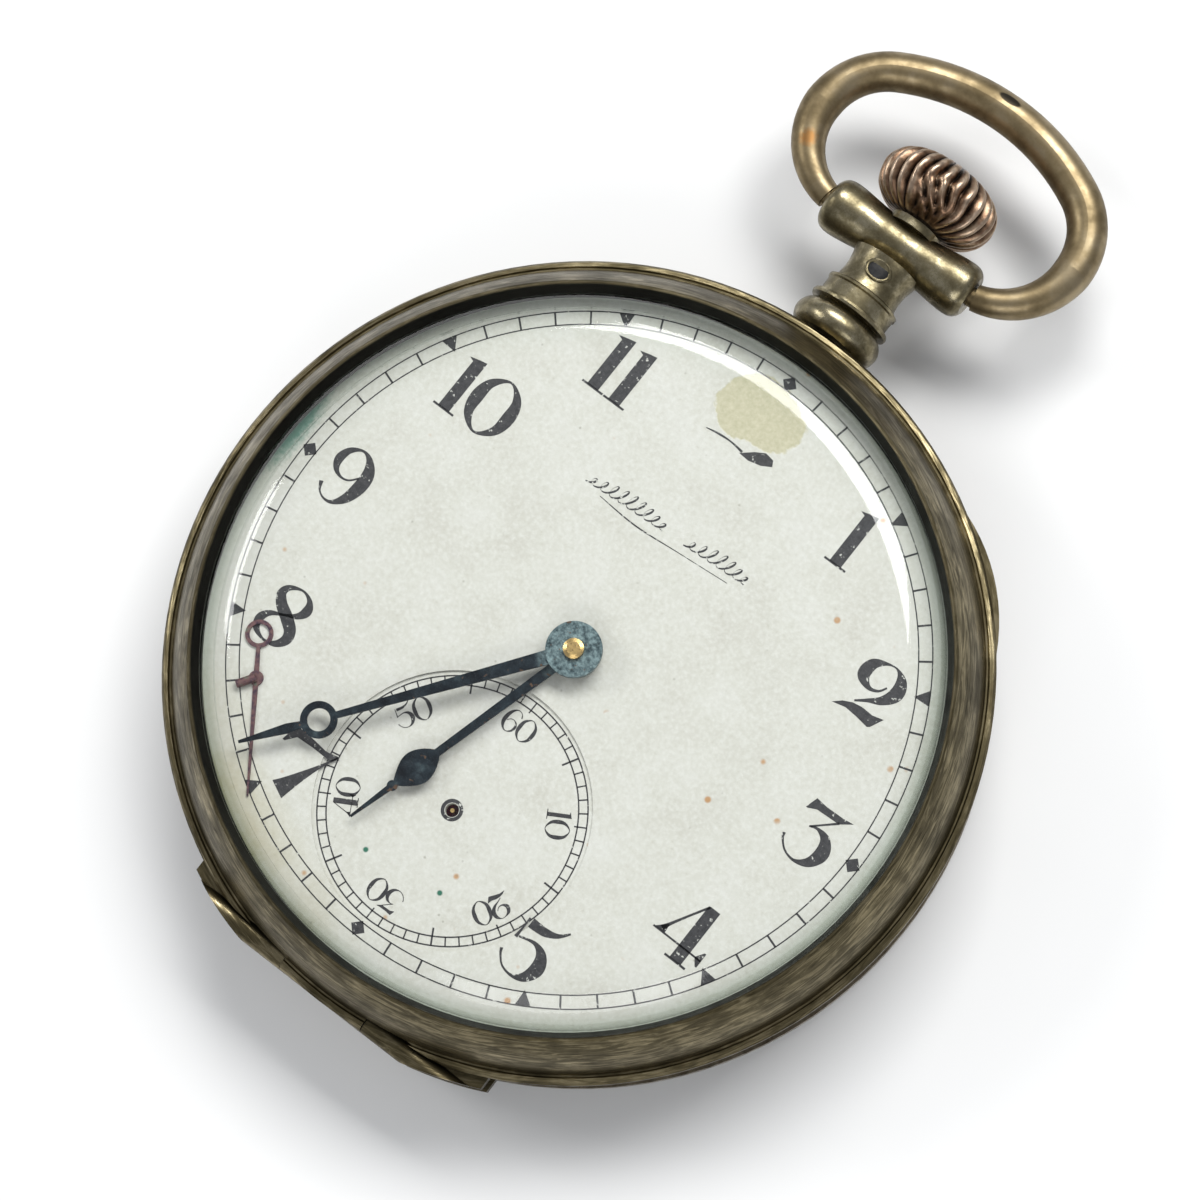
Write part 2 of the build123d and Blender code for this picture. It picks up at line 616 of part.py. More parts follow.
# A tooth space of the pinion faces the crown wheel, which lies on the -Z side.
with BuildPart() as winding_pinion:
    with BuildSketch(across_stem(PINION_Y)):
        Polygon(
            *gear(WINDING_TEETH, 2 * (WINDING_R - 0.2) / WINDING_TEETH, 90 + 180 / WINDING_TEETH, 0.62),
            align=None,
        )
        Circle(STEM_R + SLIP, mode=Mode.SUBTRACT)
    extrude(amount=1.2)
    with BuildSketch(across_stem(PINION_Y)):
        with PolarLocations(1.1, DOGS):
            Rectangle(0.6, 0.34)
    extrude(amount=0.3, mode=Mode.SUBTRACT)
save(winding_pinion.part, "winding_pinion")

# ---- Main plate ----

ARBOR_R = 0.35
PIVOT_R = 0.13
JEWEL_BORE = PIVOT_R + FIT
JEWEL_R = 0.85
CENTRE_PIVOT_R = 0.3
CANNON_BORE = CENTRE_PIVOT_R + SLIP
POST_R = 0.35
MOTION_FLOOR = 7.35      # floor of the recess for the motion work
train_jewels = [THIRD, FOURTH, ESCAPE, PALLET, BALANCE]

with BuildPart() as main_plate:
    with BuildSketch(Plane.XY.offset(PLATE_LOW)):
        Circle(MOVEMENT_R)
    extrude(amount=PLATE_HIGH - PLATE_LOW)
    # Blocks that carry the stem on the bridge side.
    with BuildSketch(Plane.XY.offset(4.3)):
        with Locations((0, 19.15)):
            Rectangle(5.2, 2.5)
        with Locations((0, 13.2)):
            Rectangle(1.8, 0.7)
    extrude(amount=PLATE_LOW - 4.3)
    with BuildSketch(across_stem(17.8)):
        Circle(STEM_R + SLIP)
    extrude(amount=6, mode=Mode.SUBTRACT)
    with BuildSketch(across_stem(12.5)):
        Circle(PILOT_R + FIT)
    extrude(amount=1.5, mode=Mode.SUBTRACT)
    # Room for the clutch and the winding pinion.
    with BuildSketch(Plane.XY.offset(PLATE_LOW)):
        with Locations((0, 17.15)):
            Rectangle(2 * WINDING_R + 0.3, 1.5)
    extrude(amount=WINDING_R + STEM_Z + 0.1 - PLATE_LOW, mode=Mode.SUBTRACT)
    with BuildSketch(Plane.XY.offset(PLATE_LOW)):
        with Locations((0, 15.1)):
            Rectangle(2 * CLUTCH_R + 0.3, 3.0)
    extrude(amount=0.5, mode=Mode.SUBTRACT)
    # Recess for the motion work on the dial side, with posts for two of its wheels.
    with BuildSketch(Plane.XY.offset(MOTION_FLOOR)):
        with Locations(CENTRE):
            Circle(4.3)
        with Locations(MINUTE_WHEEL):
            Circle(4.1)
        with Locations(SETTING_WHEEL):
            Circle(2.5)
        for x, y, half_x, half_y in ((2.3, 19.6, 3.2, 1.3), (3.3, 14.6, 3.0, 1.4)):
            with Locations((x, y)):
                Rectangle(2 * half_x, 2 * half_y)
        with Locations(MINUTE_WHEEL, SETTING_WHEEL, LEVER, YOKE):
            Circle(POST_R, mode=Mode.SUBTRACT)
    extrude(amount=PLATE_HIGH - MOTION_FLOOR + 0.1, mode=Mode.SUBTRACT)
    # Slot for the setting lever's pin.
    with Locations((0.4, 19.6, 6.9)):
        Box(1.3, 2.0, 1.6, mode=Mode.SUBTRACT)
    # Wells for the jewels, the centre arbor and the barrel arbor.
    with BuildSketch(Plane.XY.offset(PLATE_LOW - 0.1)):
        with Locations(*train_jewels):
            Circle(JEWEL_R)
        with Locations(CENTRE):
            Circle(CENTRE_PIVOT_R + SLIP)
        with Locations(BARREL):
            Circle(0.75)
        with Locations(clock(FOOT_ANGLES[0], FOOT_R), clock(FOOT_ANGLES[1], FOOT_R)):
            Circle(0.45)
    extrude(amount=3, mode=Mode.SUBTRACT)
    # Screw holes.
    with BuildSketch(Plane.XY.offset(PLATE_LOW - 0.1)):
        with Locations(*BARREL_BRIDGE_SCREWS, *TRAIN_BRIDGE_SCREWS, COCK_SCREW, PALLET_COCK_SCREW):
            Circle(0.37)
        with Locations(*[clock(a, CASE_SCREW_AT, (0, 0)) for a in CASE_SCREW_ANGLES]):
            Circle(0.42)
    extrude(amount=1.2, mode=Mode.SUBTRACT)
    for angle in FOOT_ANGLES:
        foot = clock(angle, FOOT_R)
        with BuildSketch(Plane(origin=(foot[0], foot[1], 7.4), z_dir=(sin(radians(angle)), cos(radians(angle)), 0))):
            Circle(0.42)
        extrude(amount=5, mode=Mode.SUBTRACT)
save(main_plate.part, "main_plate")


# ---- Bridges ----

def disc(centre, radius, z_low, z_high):
    with BuildPart() as body:
        with BuildSketch(level(centre, z_low)):
            Circle(radius)
        extrude(amount=z_high - z_low)
    return body.part


case_screw_room = [disc(clock(a, CASE_SCREW_AT, (0, 0)), 1.1, 0, 5.6) for a in CASE_SCREW_ANGLES]
WALL_R = 18.6
SCREW_HEAD_R = 0.75
RECESS_Z = 3.3

barrel_outline = ((-21, -2.0), (8.6, -2.0), (12.0, 2.4), (21, 2.4), (21, 21), (-21, 21))
train_outline = ((-21, -2.4), (3.0, -2.4), (3.0, -21), (-21, -21))
cock_outline = ((12.6, 2.0), (21, 2.0), (21, -4.2), (12.6, -1.6))

with BuildPart() as barrel_bridge:
    with BuildSketch(Plane.XY.offset(BRIDGE_LOW)):
        Circle(BRIDGE_R)
        Polygon(*barrel_outline, align=None, mode=Mode.INTERSECT)
        with Locations(BALANCE):
            Circle(BALANCE_ROOM, mode=Mode.SUBTRACT)
    extrude(amount=BRIDGE_HIGH - BRIDGE_LOW)
    with BuildSketch(Plane.XY.offset(BRIDGE_HIGH)):
        Circle(BRIDGE_R)
        Circle(WALL_R, mode=Mode.SUBTRACT)
        Polygon(*barrel_outline, align=None, mode=Mode.INTERSECT)
        with Locations((0, 20)):
            Rectangle(6.0, 6, mode=Mode.SUBTRACT)
    extrude(amount=PLATE_LOW - BRIDGE_HIGH)
    # Recesses for the ratchet wheel, crown wheel and click.
    with BuildSketch(Plane.XY.offset(BRIDGE_LOW - 0.1)):
        with Locations(BARREL):
            Circle(RATCHET_R + 0.4)
        with Locations(CROWN_WHEEL):
            Circle(CROWN_WHEEL_R + 0.4)
        with Locations(CLICK):
            Circle(2.7)
    extrude(amount=RECESS_Z - BRIDGE_LOW + 0.1, mode=Mode.SUBTRACT)
    with BuildSketch(Plane.XY.offset(2.45)):
        with Locations(CROWN_WHEEL):
            Circle(1.15)
        with Locations(CLICK):
            Circle(0.5)
    extrude(amount=BRIDGE_HIGH - 2.45)
    with BuildSketch(Plane.XY.offset(2.0)):
        with Locations(CROWN_WHEEL):
            Circle(0.47)
    extrude(amount=1.6, mode=Mode.SUBTRACT)
    # Slot where the winding pinion reaches the crown wheel.
    with BuildSketch(Plane.XY.offset(2.9)):
        with Locations((0, 17.15)):
            Rectangle(2 * WINDING_R + 0.3, 1.6)
    extrude(amount=2, mode=Mode.SUBTRACT)
    with BuildSketch(Plane.XY.offset(BRIDGE_LOW - 0.1)):
        with Locations(BARREL):
            Circle(1.05)
        with Locations(CENTRE):
            Circle(JEWEL_R + 0.25)
    extrude(amount=2, mode=Mode.SUBTRACT)
    with BuildSketch(Plane.XY.offset(BRIDGE_LOW - 0.1)):
        with Locations(*BARREL_BRIDGE_SCREWS):
            Circle(0.37)
    extrude(amount=5, mode=Mode.SUBTRACT)
    with BuildSketch(Plane.XY.offset(BRIDGE_LOW - 0.1)):
        with Locations(*BARREL_BRIDGE_SCREWS):
            Circle(SCREW_HEAD_R + 0.05)
    extrude(amount=0.5, mode=Mode.SUBTRACT)
    for room in case_screw_room:
        add(room, mode=Mode.SUBTRACT)
save(barrel_bridge.part, "barrel_bridge")

with BuildPart() as train_bridge:
    with BuildSketch(Plane.XY.offset(BRIDGE_LOW)):
        Circle(BRIDGE_R)
        Polygon(*train_outline, align=None, mode=Mode.INTERSECT)
        with Locations(BALANCE):
            Circle(BALANCE_ROOM, mode=Mode.SUBTRACT)
    extrude(amount=BRIDGE_HIGH - BRIDGE_LOW)
    with BuildSketch(Plane.XY.offset(BRIDGE_HIGH)):
        Circle(BRIDGE_R)
        Circle(WALL_R, mode=Mode.SUBTRACT)
        Polygon(*train_outline, align=None, mode=Mode.INTERSECT)
    extrude(amount=PLATE_LOW - BRIDGE_HIGH)
    with BuildSketch(Plane.XY.offset(BRIDGE_LOW - 0.1)):
        with Locations(THIRD, FOURTH):
            Circle(JEWEL_R)
    extrude(amount=2, mode=Mode.SUBTRACT)
    with BuildSketch(Plane.XY.offset(BRIDGE_LOW - 0.1)):
        with Locations(*TRAIN_BRIDGE_SCREWS):
            Circle(0.37)
    extrude(amount=5, mode=Mode.SUBTRACT)
    with BuildSketch(Plane.XY.offset(BRIDGE_LOW - 0.1)):
        with Locations(*TRAIN_BRIDGE_SCREWS):
            Circle(SCREW_HEAD_R + 0.05)
    extrude(amount=0.5, mode=Mode.SUBTRACT)
    for room in case_screw_room:
        add(room, mode=Mode.SUBTRACT)
save(train_bridge.part, "train_bridge")

COCK_LOW = 1.9
COCK_HIGH = 2.8
STUD = clock(150, 3.5, BALANCE)

with BuildPart() as balance_cock:
    with BuildSketch(Plane.XY.offset(COCK_LOW)):
        Circle(BRIDGE_R)
        Polygon(*cock_outline, align=None, mode=Mode.INTERSECT)
        with Locations(BALANCE):
            Circle(BALANCE_ROOM, mode=Mode.SUBTRACT)
    extrude(amount=PLATE_LOW - COCK_LOW)
    with BuildSketch(Plane.XY.offset(COCK_LOW)):
        Polygon((12.9, 1.2), (17.6, -2.6), (12.3, -10.2), (8.6, -8.0), align=None)
        with Locations(BALANCE):
            Circle(2.3)
        with Locations(STUD):
            Circle(0.7)
        Polygon(clock(60, 1.5, BALANCE), clock(150, 4.0, BALANCE), clock(160, 3.2, BALANCE), BALANCE, align=None)
    extrude(amount=COCK_HIGH - COCK_LOW)
    with BuildSketch(Plane.XY.offset(COCK_LOW - 0.1)):
        with Locations(BALANCE):
            Circle(JEWEL_R)
        with Locations(STUD):
            Circle(0.25)
        with Locations(COCK_SCREW):
            Circle(0.37)
    extrude(amount=6, mode=Mode.SUBTRACT)
    with BuildSketch(Plane.XY.offset(COCK_LOW - 0.1)):
        with Locations(COCK_SCREW):
            Circle(SCREW_HEAD_R + 0.05)
    extrude(amount=0.5, mode=Mode.SUBTRACT)
save(balance_cock.part, "balance_cock")

PALLET_COCK_LOW = 4.2
PALLET_COCK_HIGH = 4.8

with BuildPart() as pallet_cock:
    with BuildSketch(Plane.XY.offset(PALLET_COCK_LOW)):
        with Locations(ESCAPE, PALLET, PALLET_COCK_SCREW):
            Circle(1.25)
        with BuildLine():
            Polyline(ESCAPE, PALLET, PALLET_COCK_SCREW, close=True)
        make_face()
        with BuildLine():
            Polyline(clock(0, 0.9, PALLET), clock(90, 1.2, PALLET), (10.1, -15.0), (7.8, -15.4),
                     (ESCAPE[0], ESCAPE[1] - 1.2), ESCAPE, close=True)
        make_face()
        with Locations(ESCAPE, PALLET):
            Circle(JEWEL_R, mode=Mode.SUBTRACT)
    extrude(amount=PALLET_COCK_HIGH - PALLET_COCK_LOW)
    with BuildSketch(Plane.XY.offset(PALLET_COCK_HIGH)):
        with Locations(PALLET_COCK_SCREW):
            Circle(1.25)
    extrude(amount=PLATE_LOW - PALLET_COCK_HIGH)
    with BuildSketch(Plane.XY.offset(PALLET_COCK_LOW - 0.1)):
        with Locations(PALLET_COCK_SCREW):
            Circle(0.37)
    extrude(amount=3, mode=Mode.SUBTRACT)
save(pallet_cock.part, "pallet_cock")


# ---- Jewels, screws and pins ----

def ring(centre, outer_r, inner_r, z_low, z_high):
    with BuildPart() as body:
        with BuildSketch(level(centre, z_low)):
            Circle(outer_r)
            Circle(inner_r, mode=Mode.SUBTRACT)
        extrude(amount=z_high - z_low)
    return body.part


plate_jewel_rings = [ring(c, JEWEL_R - 0.01, JEWEL_BORE, 6.7, 7.2) for c in train_jewels]
with BuildPart() as plate_jewels:
    for jewel in plate_jewel_rings:
        add(jewel)
save(plate_jewels.part, "plate_jewels")

bridge_jewel_rings = [
    ring(THIRD, JEWEL_R - 0.01, JEWEL_BORE, 2.6, 3.2),
    ring(FOURTH, JEWEL_R - 0.01, JEWEL_BORE, 2.6, 3.2),
    ring(CENTRE, JEWEL_R + 0.24, CENTRE_PIVOT_R + SLIP, 2.6, 3.4),
    ring(ESCAPE, JEWEL_R - 0.01, JEWEL_BORE, 4.25, 4.6),
    ring(PALLET, JEWEL_R - 0.01, JEWEL_BORE, 4.25, 4.6),
    ring(BALANCE, JEWEL_R - 0.01, JEWEL_BORE, 2.2, 2.7),
]
with BuildPart() as bridge_jewels:
    for jewel in bridge_jewel_rings:
        add(jewel)
save(bridge_jewels.part, "bridge_jewels")

with BuildPart() as balance_cap_jewel:
    with BuildSketch(level(BALANCE, 1.6)):
        Circle(JEWEL_R)
    extrude(amount=0.28)
save(balance_cap_jewel.part, "balance_cap_jewel")


def screw(centre, head_low, head_t, head_r, shank_r, shank_end, slot=0.2):
    """Cheese-head screw pointing to +Z, with its slot in the low face."""
    with BuildPart() as body:
        with BuildSketch(upright(centre)):
            Polygon(
                (0, head_low), (head_r - 0.08, head_low), (head_r, head_low + 0.08),
                (head_r, head_low + head_t), (shank_r, head_low + head_t), (shank_r, shank_end),
                (0, shank_end),
                align=None,
            )
        revolve(axis=axle(centre))
        with BuildSketch(level(centre, head_low - 0.1, 35)):
            Rectangle(3 * head_r, slot)
        extrude(amount=0.1 + 0.45 * head_t, mode=Mode.SUBTRACT)
    return body.part


bridge_screw_bodies = [
    screw(c, 2.15, 0.5, SCREW_HEAD_R, 0.34, 7.5) for c in BARREL_BRIDGE_SCREWS + TRAIN_BRIDGE_SCREWS
]
bridge_screw_bodies.append(screw(COCK_SCREW, 1.75, 0.5, SCREW_HEAD_R, 0.34, 7.5))
bridge_screw_bodies.append(screw(PALLET_COCK_SCREW, 3.98, 0.22, SCREW_HEAD_R, 0.34, 7.3))
with BuildPart() as bridge_screws:
    for body in bridge_screw_bodies:
        add(body)
save(bridge_screws.part, "bridge_screws")

case_screw_bodies = [screw(clock(a, CASE_SCREW_AT, (0, 0)), 4.85, 0.5, 0.95, 0.4, 7.5) for a in CASE_SCREW_ANGLES]
with BuildPart() as case_screws:
    for body in case_screw_bodies:
        add(body)
save(case_screws.part, "case_screws")

# Screws in the plate's edge that grip the dial feet.
with BuildPart() as dial_screws:
    for angle in FOOT_ANGLES:
        inner = clock(angle, FOOT_R + 0.5)
        along = (sin(radians(angle)), cos(radians(angle)), 0)
        with BuildSketch(Plane(origin=(inner[0], inner[1], 7.4), z_dir=along)):
            Circle(0.4)
        extrude(amount=2.7)
save(dial_screws.part, "dial_screws")

with BuildPart() as crown_wheel_screw:
    add(screw(CROWN_WHEEL, 2.0, 0.37, 1.7, 0.45, 3.5, 0.3))
save(crown_wheel_screw.part, "crown_wheel_screw")

with BuildPart() as banking_pins:
    with BuildSketch(Plane.XY.offset(4.95)):
        for side in (-1, 1):
            with Locations(clock(90 - TO_BALANCE + side * 28, 1.75, PALLET)):
                Circle(0.12)
    extrude(amount=PLATE_LOW - 4.95)
save(banking_pins.part, "banking_pins")

# ---- Winding wheels on the barrel bridge ----

WHEEL_LOW = 2.42
WHEEL_HIGH = 3.2
to_ratchet = heading(CROWN_WHEEL, BARREL)

# A tooth of the crown wheel stands in the winding pinion's space, and the ratchet wheel meshes
# at its own direction, so the crown wheel's teeth are phased from +Y.
crown_phase = 90.0
pitch_angle = 360 / CROWN_WHEEL_TEETH
offset_teeth = (to_ratchet - crown_phase) / pitch_angle
past_tooth = (offset_teeth - round(offset_teeth)) * CROWN_WHEEL_R / RATCHET_R * pitch_angle
ratchet_phase = to_ratchet + 180 + 180 / RATCHET_TEETH + past_tooth

with BuildPart() as crown_wheel:
    with BuildSketch(level(CROWN_WHEEL, WHEEL_LOW)):
        Polygon(*gear(CROWN_WHEEL_TEETH, WINDING_MODULE, crown_phase, 0.66), align=None)
        Circle(1.15 + SLIP, mode=Mode.SUBTRACT)
    extrude(amount=WHEEL_HIGH - WHEEL_LOW)
save(crown_wheel.part, "crown_wheel")

BARREL_ARBOR_R = 0.98

with BuildPart() as ratchet_wheel:
    with BuildSketch(level(BARREL, WHEEL_LOW)):
        Polygon(*gear(RATCHET_TEETH, WINDING_MODULE, ratchet_phase, 0.66), align=None)
        Circle(BARREL_ARBOR_R + 0.01, mode=Mode.SUBTRACT)
    extrude(amount=WHEEL_HIGH - WHEEL_LOW)
save(ratchet_wheel.part, "ratchet_wheel")

with BuildPart() as ratchet_screw:
    add(screw(BARREL, 2.0, 0.4, 1.8, 0.45, 4.2, 0.3))
save(ratchet_screw.part, "ratchet_screw")

with BuildPart() as barrel_arbor:
    with BuildSketch(upright(BARREL)):
        Polygon(
            (0.47, 2.42), (BARREL_ARBOR_R, 2.42), (BARREL_ARBOR_R, 4.8), (1.3, 4.8), (1.3, 6.1),
            (0.69, 6.1), (0.69, 7.3), (0, 7.3), (0, 4.3), (0.47, 4.3),
            align=None,
        )
    revolve(axis=axle(BARREL))
save(barrel_arbor.part, "barrel_arbor")

# The click stands lifted just clear of the ratchet teeth.
CLICK_TIP_R = RATCHET_R + 0.85 * WINDING_MODULE + 0.08
click_line = heading(CLICK, BARREL)
click_tip = meeting(CLICK, BARREL, 2.4, CLICK_TIP_R + 0.02, -1)
click_back = meeting(CLICK, BARREL, 2.2, CLICK_TIP_R + 0.5, -1)

with BuildPart() as click:
    with BuildSketch(Plane.XY.offset(WHEEL_LOW)):
        with Locations(CLICK):
            Circle(1.0)
        Polygon(
            clock(90 - click_line + 50, 0.9, CLICK), click_back, click_tip,
            clock(90 - click_line - 10, 0.9, CLICK), align=None,
        )
        with Locations(BARREL):
            Circle(CLICK_TIP_R, mode=Mode.SUBTRACT)
        with Locations(CLICK):
            Circle(0.5 + SLIP, mode=Mode.SUBTRACT)
    extrude(amount=WHEEL_HIGH - WHEEL_LOW)
save(click.part, "click")

# Thin strip around the outer side of the click's recess.
with BuildPart() as click_spring:
    with BuildSketch(Plane.XY.offset(2.6)):
        with Locations(CLICK):
            Circle(2.55)
            Circle(2.35, mode=Mode.SUBTRACT)
        with Locations(clock(90 - click_line + 180, 1.2, CLICK)):
            Circle(1.9, mode=Mode.INTERSECT)
    extrude(amount=0.5)
save(click_spring.part, "click_spring")

# ---- Barrel ----

BARREL_LOW = 4.5
DRUM_R = 6.75
DRUM_INNER_R = 6.35
barrel_mesh = heading(BARREL, CENTRE)

with BuildPart() as mainspring_barrel:
    with BuildSketch(level(BARREL, BARREL_LOW)):
        Polygon(*gear(BARREL_TEETH, BARREL_MODULE, barrel_mesh, 0.66), align=None)
    extrude(amount=0.6)
    with BuildSketch(level(BARREL, BARREL_LOW)):
        Circle(DRUM_R)
    extrude(amount=1.9)
    with BuildSketch(level(BARREL, BARREL_LOW + 0.25)):
        Circle(DRUM_INNER_R)
    extrude(amount=3, mode=Mode.SUBTRACT)
    with BuildSketch(level(BARREL, BARREL_LOW - 0.1)):
        Circle(BARREL_ARBOR_R + SLIP)
    extrude(amount=1, mode=Mode.SUBTRACT)
save(mainspring_barrel.part, "mainspring_barrel")

with BuildPart() as barrel_cover:
    with BuildSketch(level(BARREL, 6.15)):
        Circle(DRUM_INNER_R - 0.02)
        Circle(0.75, mode=Mode.SUBTRACT)
    extrude(amount=0.2)
save(barrel_cover.part, "barrel_cover")

mainspring_edges = spiral(1.5, 6.15, 9, 0.2)
with BuildPart() as mainspring:
    with BuildSketch(level(BARREL, 4.85)):
        with BuildLine():
            inner_edge = Spline(*mainspring_edges[0])
            outer_edge = Spline(*mainspring_edges[1])
            Line(inner_edge @ 0, outer_edge @ 0)
            Line(inner_edge @ 1, outer_edge @ 1)
        make_face()
    extrude(amount=1.2)
save(mainspring.part, "mainspring")


# ---- Going train ----

def train_wheel(centre, wheel_z, teeth, module, phase, pinion, pinion_module, pinion_phase, shaft):
    """Spoked wheel and pinion on one arbor. pinion is (low, high, leaves), shaft a stack of steps."""
    rim_r = teeth * module / 2 - 2.2 * module - 0.25
    with BuildPart() as body:
        with BuildSketch(level(centre, wheel_z[0])):
            Polygon(*gear(teeth, module, phase, 0.66), align=None)
            Circle(rim_r, mode=Mode.SUBTRACT)
            Circle(1.0)
            with PolarLocations(rim_r / 2, 5):
                Rectangle(rim_r + 0.2, 0.4)
        extrude(amount=wheel_z[1] - wheel_z[0])
        with BuildSketch(level(centre, pinion[0])):
            Polygon(*gear(pinion[2], pinion_module, pinion_phase, 0.62), align=None)
        extrude(amount=pinion[1] - pinion[0])
        with BuildSketch(upright(centre)):
            Polygon(*stack(*shaft), align=None)
        revolve(axis=axle(centre))
    return body.part


def meshed(a, b, leaves):
    """Phase that puts a tooth space of b, with that many leaves, on the line to a."""
    return heading(b, a) + 180 / leaves


centre_shaft = ((2.7, 4.0, CENTRE_PIVOT_R), (4.0, 6.3, 0.5), (6.3, 9.6, CENTRE_PIVOT_R))
save(
    train_wheel(
        CENTRE, (4.05, 4.3), CENTRE_TEETH, CENTRE_MODULE, heading(CENTRE, THIRD),
        (4.5, 6.3, PINION_LEAVES), BARREL_MODULE, meshed(BARREL, CENTRE, PINION_LEAVES), centre_shaft,
    ),
    "centre_wheel",
)
third_shaft = ((2.7, 4.0, PIVOT_R), (4.0, 6.4, ARBOR_R), (6.4, 7.1, PIVOT_R))
save(
    train_wheel(
        THIRD, (4.75, 4.95), THIRD_TEETH, THIRD_MODULE, heading(THIRD, FOURTH),
        (4.0, 4.75, PINION_LEAVES), CENTRE_MODULE, meshed(CENTRE, THIRD, PINION_LEAVES), third_shaft,
    ),
    "third_wheel",
)
fourth_shaft = ((2.7, 4.0, PIVOT_R), (4.0, 6.4, ARBOR_R), (6.4, 8.9, PIVOT_R))
save(
    train_wheel(
        FOURTH, (5.6, 5.8), FOURTH_TEETH, FOURTH_MODULE, heading(FOURTH, ESCAPE),
        (4.5, 5.6, PINION_LEAVES), THIRD_MODULE, meshed(THIRD, FOURTH, PINION_LEAVES), fourth_shaft,
    ),
    "fourth_wheel",
)

with BuildPart() as escape_wheel:
    with BuildSketch(level(ESCAPE, 5.0)):
        Polygon(*ratchet_outline(15, ESCAPE_R, 1.6), align=None)
        Circle(1.35, mode=Mode.SUBTRACT)
        Circle(0.6)
        with PolarLocations(0.7, 4):
            Rectangle(1.5, 0.25)
    extrude(amount=0.2)
    with BuildSketch(level(ESCAPE, 5.2)):
        Polygon(
            *gear(ESCAPE_LEAVES, FOURTH_MODULE, meshed(FOURTH, ESCAPE, ESCAPE_LEAVES), 0.62),
            align=None,
        )
    extrude(amount=0.8)
    with BuildSketch(upright(ESCAPE)):
        Polygon(*stack((4.35, 4.9, PIVOT_R), (4.9, 6.4, 0.25), (6.4, 7.1, PIVOT_R)), align=None)
    revolve(axis=axle(ESCAPE))
save(escape_wheel.part, "escape_wheel")

# The pallet stones stand 0.16 clear of the escape teeth.
STONE_R = ESCAPE_R + 0.16
fork_turn = TO_BALANCE
with BuildPart() as pallet_fork:
    with BuildSketch(level(PALLET, 5.0, fork_turn)):
        Circle(0.45)
        Polygon((0, -0.3), (2.1, -0.13), (2.1, 0.13), (0, 0.3), align=None)
        Polygon((2.0, -0.35), (2.6, -0.35), (2.6, -0.14), (2.35, -0.14), (2.35, 0.14), (2.6, 0.14),
                (2.6, 0.35), (2.0, 0.35), align=None)
        for side in (-1, 1):
            Polygon((0.3, 0), (0.35, 0.5 * side), (-0.1, 1.8 * side), (-0.85, 1.8 * side), (-0.3, 0), align=None)
    extrude(amount=0.22)
    with BuildSketch(level(ESCAPE, 4.9)):
        Circle(STONE_R)
    extrude(amount=0.5, mode=Mode.SUBTRACT)
    with BuildSketch(upright(PALLET)):
        Polygon(*stack((4.35, 4.9, PIVOT_R), (4.9, 6.4, 0.22), (6.4, 7.1, PIVOT_R)), align=None)
    revolve(axis=axle(PALLET))
save(pallet_fork.part, "pallet_fork")

# ---- Balance ----

with BuildPart() as balance_wheel:
    with BuildSketch(level(BALANCE, 3.3)):
        Circle(BALANCE_R - 0.3)
        Circle(BALANCE_R - 1.0, mode=Mode.SUBTRACT)
        Circle(0.9)
        Rectangle(2 * BALANCE_R - 1.2, 0.7)
        Circle(0.3, mode=Mode.SUBTRACT)
    extrude(amount=0.6)
    for k in range(14):
        angle = 360 * k / 14 + 12
        along = (cos(radians(angle)), sin(radians(angle)), 0)
        start = (
            BALANCE[0] + (BALANCE_R - 0.5) * along[0],
            BALANCE[1] + (BALANCE_R - 0.5) * along[1],
            3.6,
        )
        with BuildSketch(Plane(origin=start, z_dir=along)):
            Circle(0.27)
        extrude(amount=0.5)
save(balance_wheel.part, "balance_wheel")

with BuildPart() as balance_staff:
    with BuildSketch(upright(BALANCE)):
        Polygon(
            *stack((1.95, 2.75, PIVOT_R), (2.75, 3.25, 0.4), (3.25, 4.25, 0.29), (4.25, 4.45, 1.0),
                   (4.45, 6.4, 0.29), (6.4, 7.1, PIVOT_R)),
            align=None,
        )
    revolve(axis=axle(BALANCE))
    with BuildSketch(level(BALANCE, 4.4, fork_turn + 180)):
        with Locations((0.75, 0)):
            Circle(0.12)
    extrude(amount=0.5)
save(balance_staff.part, "balance_staff")

hairspring_edges = spiral(0.6, 3.25, 8, 0.07, 300)
with BuildPart() as hairspring:
    with BuildSketch(level(BALANCE, 2.95)):
        with BuildLine():
            inner_edge = Spline(*hairspring_edges[0])
            outer_edge = Spline(*hairspring_edges[1])
            Line(inner_edge @ 0, outer_edge @ 0)
            Line(inner_edge @ 1, outer_edge @ 1)
        make_face()
    extrude(amount=0.2)
save(hairspring.part, "hairspring")

with BuildPart() as hairspring_stud:
    with BuildSketch(level(STUD, COCK_LOW - 0.1)):
        Circle(0.23)
    extrude(amount=1.3)
save(hairspring_stud.part, "hairspring_stud")

# The regulator's ring turns around the cap jewel, and its pointer runs over the cock.
REGULATOR_Z = 1.62
with BuildPart() as regulator:
    with BuildSketch(level(BALANCE, REGULATOR_Z, 48)):
        Circle(1.5)
        Polygon((0, -0.35), (5.2, -0.08), (5.4, 0), (5.2, 0.08), (0, 0.35), align=None)
        Circle(JEWEL_R + SLIP, mode=Mode.SUBTRACT)
    extrude(amount=0.24)
save(regulator.part, "regulator")

# ---- Keyless work on the dial side ----

KEYLESS_LOW = 7.4
KEYLESS_HIGH = 7.8

